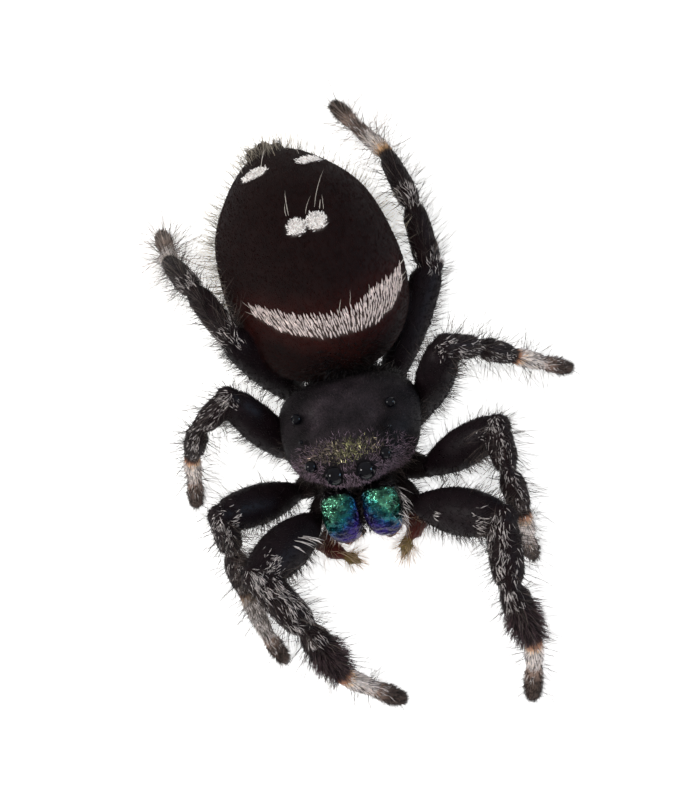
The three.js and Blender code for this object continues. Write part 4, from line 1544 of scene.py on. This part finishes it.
def makeEye(name):
    centre, radius = eyes[name]
    hand = 1 if name.endswith("left") else -1
    x, y, z = gaze[name.rsplit("_", 1)[0]]
    ahead = unit(np.array([x * hand, y, z]) @ headAxes)
    deselectAll()
    around, rings = lensFaces
    bpy.ops.mesh.primitive_uv_sphere_add(segments=around, ring_count=rings, radius=radius * mm)
    piece = bpy.context.object
    piece.name = name.replace("_", "") + "Lens"
    turn = Vector((0, 0, 1)).rotation_difference(Vector(ahead)).to_matrix().to_4x4()
    piece.data.transform(Matrix.Translation(Vector(centre * mm)) @ turn)
    shadeSmooth(piece)
    finishPiece(piece, lensFinish, [name])


for name in eyeNames:
    makeEye(name)
print("eyes:", len(eyeNames), "lenses")


# The jaws: two swollen chelicerae with a metallic, scaly front.
jawSizes = {"length": 2.05, "width": 1.34, "depth": 1.25, "tilt": 25, "place": (0.69, -2.98, -0.42),
            "voxel": 0.034, "relaxing": 6, "ends": 3.3, "ring": 2.8, "knuckle": 0.1, "neck": 0.08,
            "swell": 0.12, "dropReach": 1.15, "inwardReach": 0.55, "dropStart": -0.06}


jawLook = {
    "mottle": ("grain", 0.26, 3, [(0.36, (0.22, 0.22, 0.28)), (0.62, (1.6, 1.5, 1.5))]),
    "rough": (0.12, 0.25, 0.08, 2), "plain": {"Metallic": 0.85},
    "bumps": [("grain", 0.35, 2, 1.0, 0.25), ("cells", 0.07, 0, 0.6, 0.02), ("grain", 0.03, 2, 0.4, 0.01)],
    "speckle": (0.12, 3, 0.35), "edge": (0.008, 0.006, 0.008),
    "drop": [(0.0, (0.07, 0.25, 0.15)), (0.1, (0.017, 0.13, 0.1)), (0.26, (0.006, 0.085, 0.12)),
             (0.38, (0.007, 0.03, 0.11)), (0.5, (0.013, 0.008, 0.085)), (0.85, (0.02, 0.008, 0.08)),
             (1.0, (0.012, 0.006, 0.04))],
}


# Green above, through blue to violet below, with a speckled change and dark outer edges.
def jawTint(tree, patches):
    size, detail, amount = jawLook["speckle"]
    speckle = calc(tree, "MULTIPLY", calc(tree, "SUBTRACT", grain(tree, size, detail), 0.5), amount)
    drop = calc(tree, "ADD", stored(tree, "jawDrop"), speckle)
    colour = blendTones(tree, "MULTIPLY", 1.0, addRamp(tree, drop, jawLook["drop"]), patches)
    return blendTones(tree, "MIX", stored(tree, "jawEdge"), colour, jawLook["edge"])


jawFinish = makeFinish("jawFinish", jawLook, jawTint)


def makeJaw(side, hand):
    sizes = jawSizes

    def jawShape(u, t, v):
        knuckle = 1 - sizes["knuckle"] * (t - 0.2) ** 2 - sizes["neck"] * smooth(-t, 0.2, 1)
        x = u * knuckle * sizes["width"] / 2
        y = t * sizes["length"] / 2
        z = (v * knuckle + sizes["swell"] * (1 - t * t)) * sizes["depth"] / 2
        a = math.radians(90 - sizes["tilt"])
        turned = np.stack([x, y * math.cos(a) - z * math.sin(a), y * math.sin(a) + z * math.cos(a)], axis=1)
        placeX, placeY, placeZ = sizes["place"]
        return offHead(turned + np.array([hand * placeX, placeY, placeZ]))

    piece = roundedBody("jaw" + side.capitalize(), sizes["ends"], sizes["ring"], jawShape)
    remesh(piece, jawSizes["voxel"])
    relax(piece, jawSizes["relaxing"])
    points = coordinates(piece)
    low, high = points.min(axis=0), points.max(axis=0)
    height = (high[2] - points[:, 2]) / (high[2] - low[2])
    inward = (points[:, 0] - (low[0] + high[0]) / 2) / (high[0] - low[0]) * -hand
    drop = height * sizes["dropReach"] + inward * sizes["inwardReach"] + sizes["dropStart"]
    storeValue(piece, "jawDrop", drop)
    normals = normalsOf(piece)
    back = smooth(normals[:, 1], -0.25, 0.2)
    storeValue(piece, "jawEdge", np.maximum(back, smooth(abs(normals[:, 0]), 0.82, 1.0)))
    closeShape(piece)
    finishPiece(piece, jawFinish, ["chelicera_" + side])
    return piece


fangLook = {
    "mottle": ("grain", 0.25, 3, [(0.3, (0.04, 0.01, 0.006)), (0.7, (0.12, 0.035, 0.018))]),
    "rough": 0.25, "bumps": [("grain", 0.06, 2, 0.2, 0.006)],
}
fangFinish = makeFinish("fangFinish", fangLook)
fangSizes = {"voxel": 0.02, "smoothing": 0.5, "rounds": 12}


def makeFang(side):
    node = "fang_" + side
    piece = copyOf(node, "fang" + side.capitalize())
    remesh(piece, fangSizes["voxel"])
    applyModifier(piece, "SMOOTH", factor=fangSizes["smoothing"], iterations=fangSizes["rounds"])
    closeShape(piece)
    finishPiece(piece, fangFinish, [node])


jaws = [makeJaw("left", 1), makeJaw("right", -1)]
makeFang("left")
makeFang("right")
print("jaws:", len(jaws), "with a fang each")

# Hair of the jaws: a pale fringe at the lower end, white hair down the outer side, and a few
# fine hairs on the front.
jawCoat = {
    "fringe": {"perSquare": 130, "length": (0.25, 0.6), "width": 0.022, "lift": (10, 55), "spread": 40,
               "shape": (1.0, 0.85, 0.6), "sway": 0.7, "tone": (0.72, 0.55, 0.48)},
    "outer": {"perSquare": 30, "length": (0.35, 0.75), "width": 0.022, "lift": (15, 45), "spread": 25,
              "shape": (1.0, 0.9, 0.6), "sway": 0.6, "tone": (0.8, 0.75, 0.74), "rightShare": 0.3},
    "inner": {"perSquare": 120, "length": (0.2, 0.36), "width": 0.03, "lift": (20, 55), "spread": 30,
              "tone": (0.012, 0.009, 0.009)},
    "front": {"perSquare": 14, "length": (0.12, 0.24), "width": 0.01, "lift": (30, 60), "spread": 25,
              "tone": (0.12, 0.12, 0.15)},
}


def growJaws():
    rng = np.random.default_rng(seeds["jaws"])
    layers = []
    for jaw, hand in zip(jaws, (1, -1)):
        ground = groundOf(jaw)
        low, high = ground["points"].min(axis=0), ground["points"].max(axis=0)
        for name, layer in jawCoat.items():
            at, normal, _ = scatter(ground, np.arange(len(ground["area"])), layer["perSquare"], rng)
            height = (high[2] - at[:, 2]) / (high[2] - low[2])
            if name == "fringe":
                share = smooth(height, 0.78, 0.94)
            elif name == "outer":
                share = smooth(normal[:, 0] * hand, 0.5, 0.9) * smooth(height, 0.2, 0.5)
                share = share * (1 if hand > 0 else layer["rightShare"])
            elif name == "inner":
                share = np.maximum(smooth(-normal[:, 0] * hand, 0.75, 0.95), smooth(normal[:, 1], 0.2, 0.6))
            else:
                share = smooth(-normal[:, 1], 0.2, 0.6)
            flow = np.tile([0.2 * hand, -0.45, -1.0], (len(at), 1))
            where = keep({"at": at, "normal": normal, "flow": flow}, rng.random(len(at)) < share)
            tone = varied(rng, len(where["at"]), layer["tone"], 0.35)
            place = (where["at"] - low) / (high - low)
            column = 0.25 - 0.25 * hand  # each jaw has half of the map
            u = column + 0.5 * place[:, 0] * 0.9
            unwrap = np.stack([u + 0.02, place[:, 2]], axis=1)
            layers.append(strands(where, layer, rng, tone, unwrap))
    makeCoat("coatJaws", layers, hairFinish)


growJaws()


# The floor, the lights and the camera.
stage = {
    "floorRadius": 1.5, "floorTone": 0.86, "floorGlow": 0.95,
    "sky": 0.45,
    "camera": {"turn": 20, "height": 66, "roll": 29, "distance": 120, "lens": 160.9, "sensor": 36,
               "nearest": 0.005, "furthest": 20, "aim": (-0.211, 0.79, 3.363)},
    "lamps": {
        "overhead": {"turn": -40, "height": 75, "distance": 600, "size": 420, "power": 1.6,
                     "tone": (1.0, 0.99, 0.97), "glint": False},
        "left": {"turn": -83, "height": 39, "distance": 400, "size": 60, "power": 0.26,
                 "tone": (1.0, 0.98, 0.96), "glint": False},
        "right": {"turn": 84, "height": 14, "distance": 400, "size": 60, "power": 0.17,
                  "tone": (0.55, 0.75, 1.0), "glint": False},
        "leftGlint": {"turn": -83, "height": 39, "distance": 400, "size": 110, "power": 1.1,
                      "tone": (1.0, 0.98, 0.96), "fill": False},
        "rightGlint": {"turn": 84, "height": 14, "distance": 400, "size": 110, "power": 0.75,
                       "tone": (0.45, 0.72, 1.0), "fill": False},
    },
}


def directionTo(turn, height):
    a = math.radians(turn)
    e = math.radians(height)
    return Vector((math.sin(a) * math.cos(e), -math.cos(a) * math.cos(e), math.sin(e)))


# The floor shines with its own colour.
def glowing(tree, base):
    tree.links.new(base, tree.nodes["Principled BSDF"].inputs["Emission Color"])
    return base


def makeFloor():
    deselectAll()
    bpy.ops.mesh.primitive_circle_add(vertices=96, radius=stage["floorRadius"], fill_type="NGON")
    floor = bpy.context.object
    floor.name = "floor"
    tone = stage["floorTone"]
    look = {"mottle": ("grain", 40, 3, [(0.3, (tone, tone, tone * 0.985)), (0.7, (tone, tone, tone))]),
            "rough": 0.9, "bumps": [],
            "plain": {"Emission Strength": stage["floorGlow"], "Specular IOR Level": 0.1}}
    finish = makeFinish("floorFinish", look, glowing)
    floor.data.materials.append(finish)


def makeLights():
    world = bpy.data.worlds.new("studio")
    world.use_nodes = True
    world.node_tree.nodes["Background"].inputs["Color"].default_value = (1, 1, 1, 1)
    world.node_tree.nodes["Background"].inputs["Strength"].default_value = stage["sky"]
    bpy.context.scene.world = world
    aim = Vector(spiderMiddle + stage["camera"]["aim"]) * mm
    for name, lamp in stage["lamps"].items():
        light = bpy.data.lights.new(name, "AREA")
        light.shape = "DISK"
        light.size = lamp["size"] * mm
        light.energy = lamp["power"]
        light.color = lamp["tone"]
        holder = bpy.data.objects.new(name, light)
        bpy.context.scene.collection.objects.link(holder)
        away = directionTo(lamp["turn"], lamp["height"])
        holder.location = aim + away * lamp["distance"] * mm
        holder.rotation_euler = away.to_track_quat("Z", "Y").to_euler()
        holder.visible_glossy = lamp.get("glint", True)
        holder.visible_diffuse = lamp.get("fill", True)


def makeCamera():
    values = stage["camera"]
    back = directionTo(values["turn"], values["height"])
    a = math.radians(values["turn"])
    level = Vector((math.cos(a), math.sin(a), 0))
    upright = back.cross(level)
    roll = math.radians(values["roll"])
    right = level * math.cos(roll) - upright * math.sin(roll)
    up = level * math.sin(roll) + upright * math.cos(roll)
    camera = bpy.data.cameras.new("camera")
    camera.lens = values["lens"]
    camera.sensor_fit = "VERTICAL"
    camera.sensor_height = values["sensor"]
    camera.clip_start = values["nearest"]
    camera.clip_end = values["furthest"]
    holder = bpy.data.objects.new("camera", camera)
    bpy.context.scene.collection.objects.link(holder)
    place = Matrix((right, up, back)).transposed().to_4x4()
    place.translation = (Vector(spiderMiddle + values["aim"]) + back * values["distance"]) * mm
    holder.matrix_world = place
    bpy.context.scene.camera = holder


makeFloor()
makeLights()
makeCamera()
bpy.context.scene.view_settings.view_transform = "Standard"
print("stage: floor,", len(stage["lamps"]), "lamps and camera")
